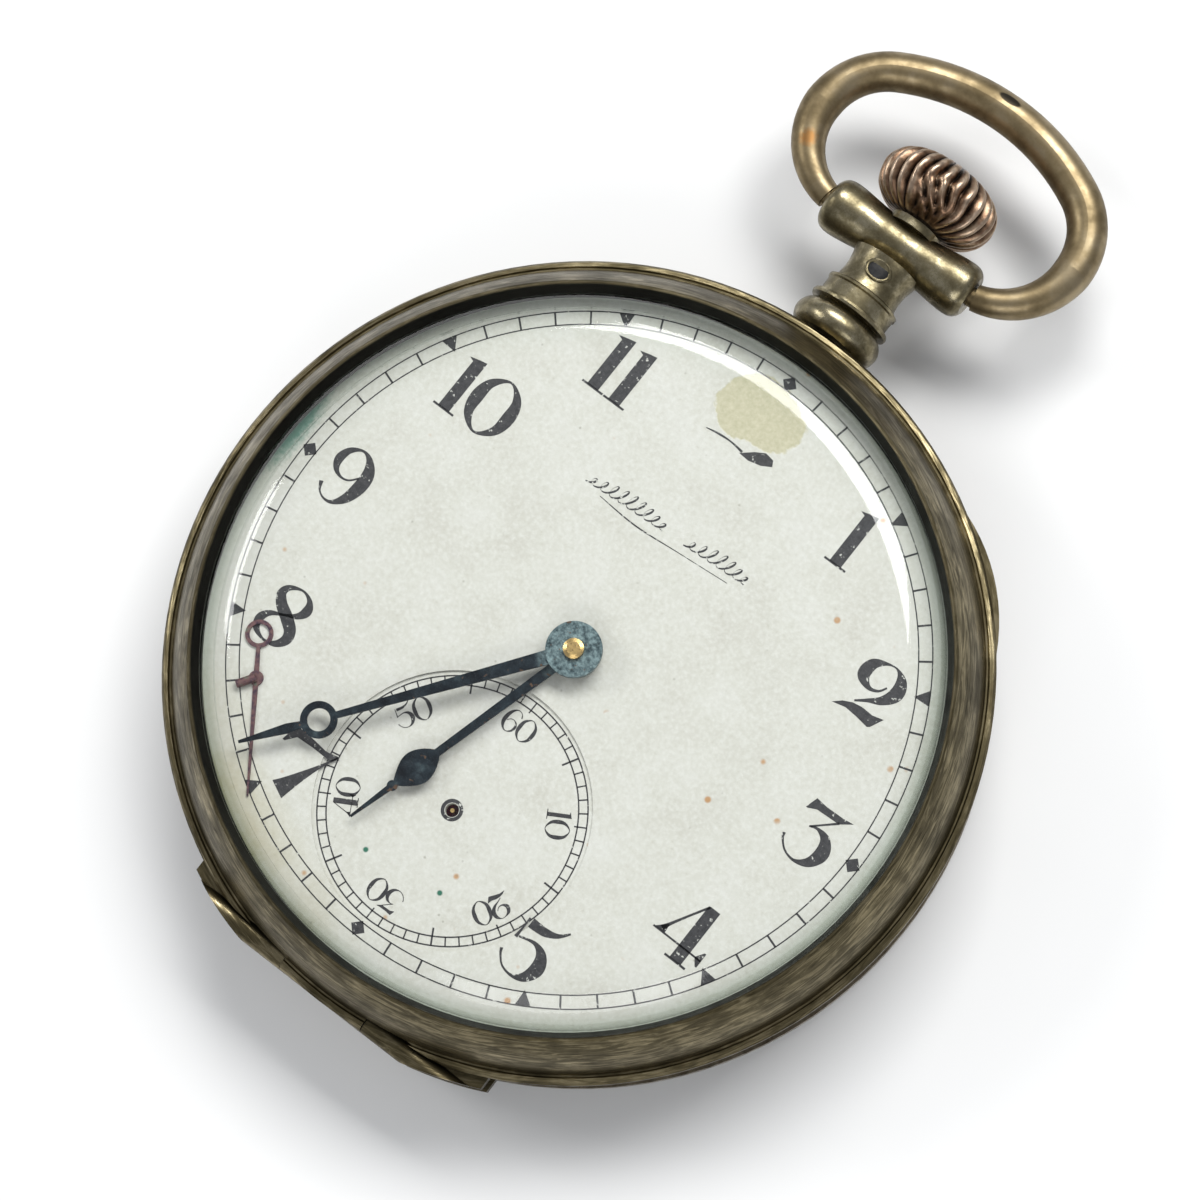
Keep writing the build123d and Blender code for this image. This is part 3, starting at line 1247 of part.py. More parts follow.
with BuildPart() as setting_lever:
    with BuildSketch(Plane.XY.offset(KEYLESS_LOW)):
        with Locations(LEVER):
            Circle(0.75)
        Polygon((LEVER[0], LEVER[1] - 0.55), (0.4, LEVER[1] - 0.35), (0.1, LEVER[1]),
                (0.4, LEVER[1] + 0.35), (LEVER[0], LEVER[1] + 0.55), align=None)
        with Locations(LEVER):
            Circle(POST_R + SLIP, mode=Mode.SUBTRACT)
    extrude(amount=KEYLESS_HIGH - KEYLESS_LOW)
    with BuildSketch(Plane.XY.offset(STEM_Z + STEM_R + 0.12)):
        with Locations((0.4, LEVER[1])):
            Circle(0.24)
    extrude(amount=KEYLESS_LOW - STEM_Z - STEM_R - 0.1)
save(setting_lever.part, "setting_lever")

with BuildPart() as yoke:
    with BuildSketch(Plane.XY.offset(KEYLESS_LOW)):
        with Locations(YOKE):
            Circle(0.75)
        Polygon((YOKE[0], YOKE[1] - 0.55), (1.4, YOKE[1] - 0.3), (1.0, YOKE[1]),
                (1.4, YOKE[1] + 0.3), (YOKE[0], YOKE[1] + 0.55), align=None)
        with Locations(YOKE):
            Circle(POST_R + SLIP, mode=Mode.SUBTRACT)
    extrude(amount=KEYLESS_HIGH - KEYLESS_LOW)
save(yoke.part, "yoke")

with BuildPart() as setting_spring:
    with BuildSketch(Plane.XY.offset(KEYLESS_LOW)):
        Polygon((5.75, 13.4), (6.05, 13.4), (6.05, 15.8), (5.75, 15.8), align=None)
    extrude(amount=0.35)
save(setting_spring.part, "setting_spring")

# ---- Motion work ----

minute_mesh = heading(MINUTE_WHEEL, CENTRE)
setting_mesh = heading(MINUTE_WHEEL, SETTING_WHEEL)
minute_phase = minute_mesh
minute_pitch = 360 / MINUTE_TEETH
minute_past = (setting_mesh - minute_phase) / minute_pitch
minute_past = (minute_past - round(minute_past)) * minute_pitch * MINUTE_TEETH / SETTING_TEETH

with BuildPart() as setting_wheel:
    with BuildSketch(level(SETTING_WHEEL, 7.45)):
        Polygon(
            *gear(SETTING_TEETH, MINUTE_MODULE,
                  setting_mesh + 180 + 180 / SETTING_TEETH + minute_past, 0.64),
            align=None,
        )
        Circle(POST_R + SLIP, mode=Mode.SUBTRACT)
    extrude(amount=0.3)
save(setting_wheel.part, "setting_wheel")

with BuildPart() as minute_wheel:
    with BuildSketch(level(MINUTE_WHEEL, 7.45)):
        Polygon(*gear(MINUTE_TEETH, MINUTE_MODULE, minute_phase, 0.64), align=None)
    extrude(amount=0.3)
    with BuildSketch(level(MINUTE_WHEEL, 7.7)):
        Polygon(*gear(MINUTE_LEAVES, HOUR_MODULE, minute_mesh, 0.62), align=None)
    extrude(amount=0.58)
    with BuildSketch(level(MINUTE_WHEEL, 7.4)):
        Circle(POST_R + SLIP)
    extrude(amount=1, mode=Mode.SUBTRACT)
save(minute_wheel.part, "minute_wheel")

CANNON_R = 0.62
HOUR_PIPE_BORE = CANNON_R + SLIP
HOUR_PIPE_R = 1.05
HOUR_HAND_Z = 9.62
MINUTE_HAND_Z = 10.15

with BuildPart() as cannon_pinion:
    with BuildSketch(level(CENTRE, 7.42)):
        Polygon(*gear(CANNON_TEETH, MINUTE_MODULE, meshed(MINUTE_WHEEL, CENTRE, CANNON_TEETH), 0.62), align=None)
    extrude(amount=0.4)
    with BuildSketch(upright(CENTRE)):
        Polygon((0, 7.6), (CANNON_R, 7.6), (CANNON_R, 10.75), (0.4, 10.85), (0, 10.85), align=None)
    revolve(axis=axle(CENTRE))
    with BuildSketch(level(CENTRE, 7.3)):
        Circle(CANNON_BORE)
    extrude(amount=2.4, mode=Mode.SUBTRACT)
save(cannon_pinion.part, "cannon_pinion")

with BuildPart() as hour_wheel:
    with BuildSketch(level(CENTRE, 7.95)):
        Polygon(*gear(HOUR_TEETH, HOUR_MODULE, meshed(MINUTE_WHEEL, CENTRE, HOUR_TEETH), 0.64), align=None)
    extrude(amount=0.3)
    with BuildSketch(level(CENTRE, 7.95)):
        Circle(HOUR_PIPE_R)
    extrude(amount=HOUR_HAND_Z + 0.3 - 7.95)
    with BuildSketch(level(CENTRE, 7.9)):
        Circle(HOUR_PIPE_BORE)
    extrude(amount=4, mode=Mode.SUBTRACT)
save(hour_wheel.part, "hour_wheel")

# ---- Dial and hands ----

SECONDS = FOURTH
SECONDS_R = 8.35
DIAL_R = 22.55

with BuildPart() as dial:
    with BuildSketch(Plane.XY.offset(DIAL_LOW)):
        Circle(DIAL_R)
    extrude(amount=DIAL_TOP - DIAL_LOW)
    with BuildSketch(level(SECONDS, DIAL_TOP - 0.15)):
        Circle(SECONDS_R)
    extrude(amount=1, mode=Mode.SUBTRACT)
    with BuildSketch(Plane.XY.offset(DIAL_LOW - 0.1)):
        with Locations(CENTRE):
            Circle(1.3)
        with Locations(SECONDS):
            Circle(0.42)
    extrude(amount=2, mode=Mode.SUBTRACT)
    with BuildSketch(Plane.XY.offset(6.9)):
        with Locations(clock(FOOT_ANGLES[0], FOOT_R), clock(FOOT_ANGLES[1], FOOT_R)):
            Circle(0.4)
    extrude(amount=DIAL_LOW - 6.9 + 0.1)
save(dial.part, "dial")

HOUR_CLOCK = 195.6 + DIAL_TURN
MINUTE_CLOCK = 217.0 + DIAL_TURN


def hand_level(angle, z):
    """Plane at the hands' axis whose own +Y points to a clock angle."""
    return level(CENTRE, z, -angle)


with BuildPart() as hour_hand:
    with BuildSketch(hand_level(HOUR_CLOCK, HOUR_HAND_Z)):
        Circle(1.6)
        Polygon((-0.32, 1.2), (0.32, 1.2), (0.24, 10.2), (-0.24, 10.2), align=None)
        with BuildLine():
            Spline((0, 9.9), (-0.75, 10.7), (-1.02, 11.6), (-0.6, 12.6), (-0.2, 13.1))
            Spline((0, 9.9), (0.75, 10.7), (1.02, 11.6), (0.6, 12.6), (0.2, 13.1))
            Line((-0.2, 13.1), (0.2, 13.1))
        make_face()
        with Locations((0, 13.35)):
            Circle(0.32)
        Polygon((-0.2, 13.2), (0.2, 13.2), (0.07, 16.4), (-0.07, 16.4), align=None)
        Circle(HOUR_PIPE_R + 0.01, mode=Mode.SUBTRACT)
    extrude(amount=0.16)
save(hour_hand.part, "hour_hand")

MINUTE_RING_Y = 15.65
with BuildPart() as minute_hand:
    with BuildSketch(hand_level(MINUTE_CLOCK, MINUTE_HAND_Z)):
        Circle(1.2)
        Polygon((-0.45, 0.9), (0.45, 0.9), (0.2, 14.7), (-0.2, 14.7), align=None)
        with Locations((0, MINUTE_RING_Y)):
            Circle(1.12)
        Polygon((-0.18, 16.5), (0.18, 16.5), (0.3, 17.6), (0.08, 20.6), (-0.08, 20.6), (-0.3, 17.6), align=None)
        with Locations((0, MINUTE_RING_Y)):
            Circle(0.7, mode=Mode.SUBTRACT)
    extrude(amount=0.18)
    with BuildSketch(level(CENTRE, MINUTE_HAND_Z)):
        Circle(1.7)
    extrude(amount=0.35)
    with BuildSketch(level(CENTRE, MINUTE_HAND_Z - 0.1)):
        Circle(CANNON_R + 0.01)
    extrude(amount=2, mode=Mode.SUBTRACT)
save(minute_hand.part, "minute_hand")

# The seconds hand has come off its pivot and lies on the dial near 8 o'clock.
LOOSE_CLOCK = 145.7      # where its tip points
LOOSE_HUB = (-14.5, -12.15)
LOOSE_Z = DIAL_TOP + 0.02

with BuildPart() as seconds_hand:
    with BuildSketch(level(LOOSE_HUB, LOOSE_Z, -LOOSE_CLOCK)):
        Circle(0.45)
        Polygon((-0.11, -2.0), (0.11, -2.0), (0.16, 0), (0.05, 7.1), (-0.05, 7.1), (-0.16, 0), align=None)
        with Locations((0, -2.7)):
            Circle(0.85)
            Circle(0.6, mode=Mode.SUBTRACT)
    extrude(amount=0.14)
    with BuildSketch(Plane(
            origin=(LOOSE_HUB[0], LOOSE_HUB[1], LOOSE_Z + 0.27),
            z_dir=(-cos(radians(LOOSE_CLOCK - 90)), -sin(radians(LOOSE_CLOCK - 90)), 0))):
        Circle(0.26)
    extrude(amount=1.2)
save(seconds_hand.part, "seconds_hand")
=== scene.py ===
"""Open-face pocket watch lying on its back: materials, dial print, wear, light and camera.

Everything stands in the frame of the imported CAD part: metres, origin in the middle of the
back cover's outer face, +Z out of the dial, +Y to the pendant.
"""
from math import cos, exp, hypot, pi, radians, sin

import bpy
from mathutils import Matrix, Vector


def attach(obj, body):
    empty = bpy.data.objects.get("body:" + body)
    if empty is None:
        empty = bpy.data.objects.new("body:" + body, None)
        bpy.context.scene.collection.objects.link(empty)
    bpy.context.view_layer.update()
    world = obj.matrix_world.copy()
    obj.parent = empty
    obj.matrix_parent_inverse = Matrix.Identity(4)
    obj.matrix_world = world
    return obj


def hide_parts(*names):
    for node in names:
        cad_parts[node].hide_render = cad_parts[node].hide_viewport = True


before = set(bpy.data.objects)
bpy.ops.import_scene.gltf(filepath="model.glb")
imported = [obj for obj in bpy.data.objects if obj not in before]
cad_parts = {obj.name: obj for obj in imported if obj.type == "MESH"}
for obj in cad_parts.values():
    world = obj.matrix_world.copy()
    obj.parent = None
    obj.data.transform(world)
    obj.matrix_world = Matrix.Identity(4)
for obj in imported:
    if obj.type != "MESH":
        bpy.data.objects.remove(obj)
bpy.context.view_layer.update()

# ---- Driving dimensions, in millimetres ----

MM = 0.001
DIAL_TOP = 9.2
SUNK_TOP = 9.05
PRINT_LIFT = 0.012
DIAL_TURN = 1.1          # degrees clockwise that the dial sits from the pendant
CENTRE = (0.0, 0.4)
SUB_DIAL = (0.0, -11.8)  # in the dial's own frame
STEM_Z = 5.5

TRACK_OUT = 21.02
TRACK_IN = 20.2
NUMERAL_R = 17.75
NUMERAL_H = 3.85

SUB_OUT = 8.05
SUB_IN = 7.5
SUB_NUMERAL_R = 6.35
SUB_NUMERAL_H = 1.5

CASE_R = 25.0
RING_R = 24.0            # radius at which streaks round the case keep their length

# Marks of age, in the case's frame.
CHIP = (-0.1, 18.55)     # bare place where the figures 12 were
CHIP_HALF = (3.05, 2.15)
RIM_STAIN = (-9.5, -18.5)
GREEN_STAIN = (-22.2, 1.5)
GREEN_DOTS = ((-2.9, -16.3), (2.2, -15.7))
BOW_RUST = (-8.6, 34.8)

# Blank stamps on the bow and on the pendant's neck.
BOW_STAMP = (0.05, 43.85)
NECK_STAMP = (0.15, 30.2)

# The camera looks down at a point on the dial.
LOOK_AT = (-0.8, 3.8, DIAL_TOP)
CAMERA_DISTANCE = 207.6
CAMERA_TURN = 61.5       # degrees about the vertical
CAMERA_TILT = 12.9       # degrees away from straight down
CAMERA_ROLL = -24.7      # degrees about the line of sight


# ---- Node building blocks ----

class Shade:
    """One material and short calls that add nodes to it."""

    def __init__(self, name):
        self.material = bpy.data.materials.new(name)
        self.material.use_nodes = True
        tree = self.material.node_tree
        self.nodes = tree.nodes
        self.links = tree.links
        self.nodes.clear()
        self.output = self.nodes.new("ShaderNodeOutputMaterial")
        self.surface = self.nodes.new("ShaderNodeBsdfPrincipled")
        self.links.new(self.surface.outputs[0], self.output.inputs["Surface"])
        self.place = self.nodes.new("ShaderNodeTexCoord").outputs["Object"]

    def set(self, **values):
        for key, value in values.items():
            self.surface.inputs[key.replace("_", " ").title().replace("Ior", "IOR")].default_value = value
        return self

    def feed(self, socket, value, node=None):
        target = (node or self.surface).inputs[socket]
        if isinstance(value, bpy.types.NodeSocket):
            self.links.new(value, target)
        else:
            target.default_value = value
        return self

    def stretch(self, scale):
        """Coordinates in millimetres, multiplied per axis."""
        node = self.nodes.new("ShaderNodeMapping")
        self.links.new(self.place, node.inputs["Vector"])
        node.inputs["Scale"].default_value = [s / MM for s in scale]
        return node.outputs[0]

    def math(self, kind, a, b=0.0, clamp=False):
        node = self.nodes.new("ShaderNodeMath")
        node.operation = kind
        node.use_clamp = clamp
        self.feed(0, a, node)
        self.feed(1, b, node)
        return node.outputs[0]

    def split(self):
        node = self.nodes.new("ShaderNodeSeparateXYZ")
        self.links.new(self.stretch((1, 1, 1)), node.inputs[0])
        return node.outputs

    def join(self, x, y, z):
        node = self.nodes.new("ShaderNodeCombineXYZ")
        for i, value in enumerate((x, y, z)):
            self.feed(i, value, node)
        return node.outputs[0]

    def length(self, x, y):
        squares = self.math("ADD", self.math("MULTIPLY", x, x), self.math("MULTIPLY", y, y))
        return self.math("SQRT", squares)

    def polar(self, along=1.0, across=1.0, up=1.0):
        """Coordinates that run round the watch's axis: arc, radius and height in millimetres."""
        x, y, z = self.split()
        angle = self.math("ARCTAN2", y, x)
        return self.join(
            self.math("MULTIPLY", angle, RING_R * along),
            self.math("MULTIPLY", self.length(x, y), across),
            self.math("MULTIPLY", z, up),
        )

    def away(self, x, y, wide=1.0, tall=1.0):
        """Distance from a point of the dial plane, squashed to an oval."""
        px, py, _ = self.split()
        dx = self.math("DIVIDE", self.math("SUBTRACT", px, x), wide)
        dy = self.math("DIVIDE", self.math("SUBTRACT", py, y), tall)
        return self.length(dx, dy)

    def share(self, distance, full):
        """A distance as a share of another, never above 1, so that a ramp can take it."""
        return self.math("DIVIDE", distance, full, True)

    def noise(self, vector, scale=1.0, detail=4.0, rough=0.55, distort=0.0):
        node = self.nodes.new("ShaderNodeTexNoise")
        self.links.new(vector, node.inputs["Vector"])
        node.inputs["Scale"].default_value = scale
        node.inputs["Detail"].default_value = detail
        node.inputs["Roughness"].default_value = rough
        node.inputs["Distortion"].default_value = distort
        return node.outputs["Fac"]

    def cells(self, vector, scale=1.0):
        node = self.nodes.new("ShaderNodeTexVoronoi")
        self.links.new(vector, node.inputs["Vector"])
        node.inputs["Scale"].default_value = scale
        return node.outputs["Distance"]

    def ramp(self, value, *stops):
        """Colour or grey along a value: stops are (position, colour or grey)."""
        node = self.nodes.new("ShaderNodeValToRGB")
        self.links.new(value, node.inputs[0])
        elements = node.color_ramp.elements
        while len(elements) < len(stops):
            elements.new(0.5)
        for element, (position, colour) in zip(elements, stops):
            element.position = position
            if isinstance(colour, (int, float)):
                colour = (colour, colour, colour)
            element.color = (*colour, 1)
        return node.outputs[0]

    def fade(self, value, start, end):
        """1 up to the start value, 0 from the end value on."""
        node = self.nodes.new("ShaderNodeMapRange")
        self.links.new(value, node.inputs["Value"])
        for key, number in (("From Min", start), ("From Max", end), ("To Min", 1.0), ("To Max", 0.0)):
            node.inputs[key].default_value = number
        return node.outputs[0]

    def mix(self, factor, a, b):
        node = self.nodes.new("ShaderNodeMix")
        node.data_type = "RGBA"
        self.feed(0, factor, node)
        for i, value in ((6, a), (7, b)):
            self.feed(i, (*value, 1) if isinstance(value, tuple) else value, node)
        return node.outputs[2]

    def bump(self, height, strength=0.3, depth=0.05):
        """Depth is in millimetres."""
        node = self.nodes.new("ShaderNodeBump")
        node.inputs["Strength"].default_value = strength
        node.inputs["Distance"].default_value = depth * MM
        self.links.new(height, node.inputs["Height"])
        self.links.new(node.outputs[0], self.surface.inputs["Normal"])
        return self


# ---- Metals ----

def tarnished(name, dark, middle, light, ring=True, patch=0.35, rough=(0.26, 0.52)):
    """Old silver: tarnish in streaks, clouds of it, fine scratches, and painted shade, near black, on the
    inner bevel against the crystal.
    """
    m = Shade(name)
    flow = m.polar(0.16, 1.3, 1.3) if ring else m.stretch((0.5, 0.5, 0.5))
    streaks = m.noise(flow, 2.0, 6, 0.6, 1.9 if ring else 0.3)
    clouds = m.noise(m.stretch((1, 1, 1)), patch, 3, 0.6)
    fine = m.noise(m.polar(0.35, 7, 7) if ring else m.stretch((3, 3, 3)), 1.6, 4, 0.7)
    both = m.math("ADD", m.math("MULTIPLY", streaks, 0.5), m.math("MULTIPLY", clouds, 0.3))
    both = m.math("ADD", both, m.math("MULTIPLY", fine, 0.2))
    colour = m.ramp(both, (0.34, dark), (0.49, middle), (0.65, light))
    if ring:
        # Painted shade: inside 22.45 mm the bevel against the crystal is painted near black.
        bevel_shade = m.fade(m.away(0, 0), 22.45, 22.62)
        colour = m.mix(bevel_shade, colour, (0.012, 0.011, 0.010))
    m.feed("Base Color", colour)
    m.feed("Roughness", m.ramp(both, (0.38, rough[1]), (0.62, rough[0])))
    m.set(metallic=1.0)
    dents = m.noise(m.stretch((1, 1, 1)), 0.7, 3, 0.5)
    m.bump(m.math("ADD", m.math("MULTIPLY", fine, 0.35), dents), 0.35, 0.06)
    return m.material


def worn_wire(name):
    """The bow: smooth brassy metal, duller at places, with a rust spot and a blank dark stamp."""
    m = Shade(name)
    clouds = m.noise(m.stretch((1, 1, 1)), 0.45, 4, 0.6)
    fine = m.noise(m.stretch((1, 1, 1)), 5, 3, 0.6)
    colour = m.ramp(clouds, (0.33, (0.13, 0.098, 0.052)), (0.5, (0.22, 0.17, 0.095)),
                    (0.68, (0.31, 0.25, 0.155)))
    rust = m.fade(m.math("ADD", m.away(*BOW_RUST, 0.7, 0.8), m.math("MULTIPLY", fine, 0.8)), 0.8, 1.3)
    colour = m.mix(rust, colour, (0.27, 0.14, 0.05))
    stamp = m.fade(m.away(*BOW_STAMP, 0.85, 0.3), 0.8, 1.0)
    m.feed("Base Color", m.mix(stamp, colour, (0.03, 0.025, 0.018)))
    m.feed("Roughness", m.ramp(clouds, (0.35, 0.5), (0.65, 0.36)))
    m.set(metallic=1.0)
    m.bump(m.math("ADD", m.math("MULTIPLY", fine, 0.25), clouds), 0.25, 0.05)
    return m.material


def old_copper(name):
    """The crown: brown copper with painted shade, near black, in the grooves, and rubbed bright on the
    ribs.
    """
    m = Shade(name)
    fine = m.noise(m.stretch((1, 1, 1)), 3, 4, 0.65)
    blotch = m.noise(m.stretch((1, 1, 1)), 0.8, 3, 0.6)
    colour = m.ramp(blotch, (0.35, (0.13, 0.075, 0.045)), (0.52, (0.24, 0.15, 0.095)),
                    (0.68, (0.38, 0.28, 0.19)))
    rib = m.nodes.new("ShaderNodeAttribute")
    rib.attribute_name = "rib"
    height = m.math("ADD", rib.outputs["Fac"], m.math("MULTIPLY", m.math("SUBTRACT", fine, 0.5), 0.3))
    # Painted shade: the grooves between the ribs are darkened to near black.
    colour = m.mix(m.ramp(height, (0.25, 0.0), (0.75, 1.0)), (0.012, 0.008, 0.006), colour)
    m.feed("Base Color", m.mix(m.ramp(height, (0.8, 0.0), (1.0, 0.6)), colour, (0.62, 0.50, 0.38)))
    m.feed("Roughness", m.ramp(fine, (0.3, 0.26), (0.7, 0.46)))
    m.set(metallic=1.0)
    m.bump(fine, 0.3, 0.06)
    return m.material


def machined(name, colour, spread=0.12, rough=(0.22, 0.4), grain=(9, 9, 9), stripes=False):
    """Clean metal of the movement with a fine grain, or with broad polished stripes."""
    m = Shade(name)
    light = tuple(min(1.0, c * (1 + spread)) for c in colour)
    dark = tuple(c * (1 - spread) for c in colour)
    tone = m.noise(m.stretch(grain), 1.0, 4, 0.6)
    m.feed("Base Color", m.ramp(tone, (0.3, dark), (0.7, light)))
    m.set(metallic=1.0)
    if stripes:
        wave = m.nodes.new("ShaderNodeTexWave")
        wave.inputs["Scale"].default_value = 0.09
        wave.inputs["Distortion"].default_value = 0.2
        m.links.new(m.stretch((1, 0.6, 0)), wave.inputs["Vector"])
        tone = m.math("ADD", m.math("MULTIPLY", tone, 0.25), wave.outputs["Fac"])
    m.feed("Roughness", m.ramp(tone, (0.2, rough[0]), (0.8, rough[1])))
    m.bump(tone, 0.2, 0.02)
    return m.material


def blued(name):
    """Blued steel gone nearly black, with grey-green patina and specks of rust."""
    m = Shade(name)
    fine = m.noise(m.stretch((1, 1, 1)), 3.2, 4, 0.7)
    clouds = m.noise(m.stretch((1, 1, 1)), 0.9, 3, 0.6)
    steel = m.ramp(clouds, (0.35, (0.007, 0.010, 0.014)), (0.62, (0.022, 0.032, 0.040)),
                   (0.8, (0.07, 0.10, 0.11)))
    hub = m.ramp(m.share(m.away(*CENTRE), 3.2), (0.5, 1.0), (0.75, 0.0))
    patina = m.ramp(fine, (0.35, (0.05, 0.08, 0.09)), (0.65, (0.22, 0.30, 0.31)))
    colour = m.mix(hub, steel, patina)
    speck = m.ramp(m.noise(m.stretch((1, 1, 1)), 2.3, 2, 0.5), (0.66, 0.0), (0.72, 1.0))
    m.feed("Base Color", m.mix(speck, colour, (0.12, 0.075, 0.05)))
    m.feed("Roughness", m.ramp(fine, (0.3, 0.28), (0.7, 0.55)))
    m.set(metallic=0.9)
    m.bump(fine, 0.4, 0.05)
    return m.material


def rusty_needle(name):
    """The loose seconds hand: brown violet steel with a green crust."""
    m = Shade(name)
    fine = m.noise(m.stretch((1, 1, 1)), 2.6, 4, 0.7)
    crust = (0.72, (0.15, 0.17, 0.13))
    m.feed("Base Color", m.ramp(fine, (0.35, (0.05, 0.03, 0.05)), (0.55, (0.16, 0.08, 0.08)), crust))
    m.feed("Roughness", m.ramp(fine, (0.3, 0.35), (0.7, 0.75)))
    m.set(metallic=0.6)
    m.bump(fine, 0.6, 0.05)
    return m.material


def jewel(name):
    m = Shade(name)
    tone = m.noise(m.stretch((1, 1, 1)), 1.5, 3, 0.5)
    m.feed("Base Color", m.ramp(tone, (0.3, (0.35, 0.01, 0.05)), (0.7, (0.6, 0.03, 0.12))))
    m.feed("Roughness", m.ramp(tone, (0.3, 0.06), (0.7, 0.14)))
    m.set(ior=1.76)
    m.bump(tone, 0.05, 0.01)
    return m.material


# ---- Crystal, enamel and print ----

def clear_crystal(name):
    """Thin glass: mostly clear, mirror-like at a slant, with faint scratches and haze."""
    m = Shade(name)
    m.nodes.remove(m.surface)
    hair = m.noise(m.stretch((1.0, 6.0, 1.0)), 2.0, 4, 0.8, 2.0)
    dust = m.noise(m.stretch((1, 1, 1)), 2.0, 5, 0.7)
    bump = m.nodes.new("ShaderNodeBump")
    bump.inputs["Strength"].default_value = 0.05
    bump.inputs["Distance"].default_value = 0.02 * MM
    m.links.new(hair, bump.inputs["Height"])
    clear = m.nodes.new("ShaderNodeBsdfTransparent")
    reach = m.share(m.away(0, 0), CASE_R)
    rim = m.ramp(reach, (0.845, (0.985, 0.99, 0.985)), (0.875, (0.84, 0.87, 0.84)))
    m.feed("Color", rim, clear)
    shine = m.nodes.new("ShaderNodeBsdfGlossy")
    m.links.new(bump.outputs[0], shine.inputs["Normal"])
    m.feed("Roughness", m.ramp(dust, (0.4, 0.02), (0.75, 0.09)), shine)
    fresnel = m.nodes.new("ShaderNodeFresnel")
    fresnel.inputs["IOR"].default_value = 1.5
    m.links.new(bump.outputs[0], fresnel.inputs["Normal"])
    both = m.nodes.new("ShaderNodeMixShader")
    side = m.nodes.new("ShaderNodeNewGeometry").outputs["Backfacing"]
    m.feed(0, m.math("MULTIPLY", fresnel.outputs[0], m.math("SUBTRACT", 1.0, side)), both)
    m.links.new(clear.outputs[0], both.inputs[1])
    m.links.new(shine.outputs[0], both.inputs[2])
    haze = m.nodes.new("ShaderNodeBsdfDiffuse")
    haze.inputs["Color"].default_value = (0.8, 0.8, 0.76, 1)
    edge = m.ramp(reach, (0.84, 0.0), (0.9, 0.05))
    dirt = m.math("MULTIPLY", m.ramp(dust, (0.5, 0.0), (0.72, 1.0)), m.math("ADD", edge, 0.008))
    dirt = m.math("MULTIPLY", dirt, m.math("SUBTRACT", 1.0, side))
    last = m.nodes.new("ShaderNodeMixShader")
    m.links.new(dirt, last.inputs[0])
    m.links.new(both.outputs[0], last.inputs[1])
    m.links.new(haze.outputs[0], last.inputs[2])
    m.links.new(last.outputs[0], m.output.inputs["Surface"])
    return m.material


def aged_enamel(name):
    """Off-white fired enamel with specks, rust flecks, stains and a chip at 12."""
    m = Shade(name)
    where = m.stretch((1, 1, 1))
    clouds = m.noise(where, 0.22, 4, 0.6)
    grain = m.noise(where, 3.5, 4, 0.75)
    base = m.ramp(clouds, (0.3, (0.52, 0.51, 0.455)), (0.5, (0.56, 0.555, 0.50)),
                  (0.7, (0.59, 0.585, 0.54)))
    base = m.mix(m.ramp(grain, (0.45, 0.0), (0.7, 0.55)), base, (0.68, 0.68, 0.645))
    base = m.mix(m.ramp(grain, (0.25, 0.4), (0.40, 0.0)), base, (0.38, 0.36, 0.29))
    # Yellow stains at the edge between 6 and 8 o'clock and a green one at 9.
    radius = m.away(*CENTRE)
    rim = m.ramp(m.share(radius, CASE_R), (0.76, 0.0), (0.9, 1.0))
    spread = m.ramp(m.share(m.away(*RIM_STAIN), 12), (0.15, 1.0), (0.9, 0.0))
    stain = m.math("MULTIPLY", rim, spread)
    stain = m.math("MULTIPLY", stain, m.ramp(clouds, (0.35, 1.0), (0.7, 0.4)))
    base = m.mix(m.math("MULTIPLY", stain, 0.85), base, (0.43, 0.37, 0.20))
    green = m.fade(m.math("ADD", m.away(*GREEN_STAIN, 1.0, 3.4), grain), 0.9, 1.6)
    green = m.math("MULTIPLY", green, 0.85)
    base = m.mix(green, base, (0.10, 0.26, 0.21))
    # Rust flecks, few and small.
    fleck = m.cells(where, 0.34)
    choose = m.noise(m.stretch((1, 1, 1)), 0.33, 2, 0.5)
    chosen = m.ramp(choose, (0.43, 0.0), (0.47, 1.0))
    fleck = m.math("MULTIPLY", m.ramp(fleck, (0.045, 1.0), (0.085, 0.0)), chosen)
    base = m.mix(m.math("MULTIPLY", fleck, 0.85), base, (0.42, 0.20, 0.05))
    for x, y in GREEN_DOTS:
        base = m.mix(m.fade(m.away(x, y), 0.12, 0.2), base, (0.02, 0.13, 0.08))
    speck = m.ramp(m.cells(where, 0.9), (0.04, 0.55), (0.09, 0.0))
    speck = m.math("MULTIPLY", speck, m.ramp(m.noise(where, 0.8, 2, 0.5), (0.52, 0.0), (0.6, 1.0)))
    base = m.mix(speck, base, (0.24, 0.23, 0.18))
    # The chip.
    ragged = m.math("MULTIPLY", m.noise(where, 0.55, 4, 0.6), 0.75)
    edge = m.math("ADD", m.away(*CHIP, *CHIP_HALF), ragged)
    chip = m.fade(edge, 1.30, 1.36)
    bare = m.ramp(grain, (0.3, (0.42, 0.40, 0.27)), (0.7, (0.54, 0.51, 0.37)))
    m.feed("Base Color", m.mix(chip, base, bare))
    m.feed("Roughness", m.mix(chip, m.ramp(grain, (0.3, 0.28), (0.75, 0.5)), (0.75, 0.75, 0.75)))
    height = m.math("SUBTRACT", m.math("MULTIPLY", grain, 0.35), m.math("MULTIPLY", chip, 1.2))
    m.bump(height, 0.35, 0.05)
    return m.material


def worn_print(name, wear=0.5):
    """Black dial print, rubbed through in small spots where the enamel shows."""
    m = Shade(name)
    where = m.stretch((1, 1, 1))
    spots = m.noise(where, 2.6, 3, 0.75)
    rubbed = m.ramp(spots, (wear, 0.0), (wear + 0.05, 1.0))
    ink = m.ramp(m.noise(where, 4.0, 3, 0.6), (0.3, (0.008, 0.008, 0.010)), (0.7, (0.035, 0.034, 0.037)))
    m.feed("Base Color", m.mix(rubbed, ink, (0.50, 0.50, 0.46)))
    m.feed("Roughness", m.ramp(spots, (0.3, 0.35), (0.7, 0.6)))
    m.bump(spots, 0.2, 0.02)
    return m.material


# ---- Meshes ----

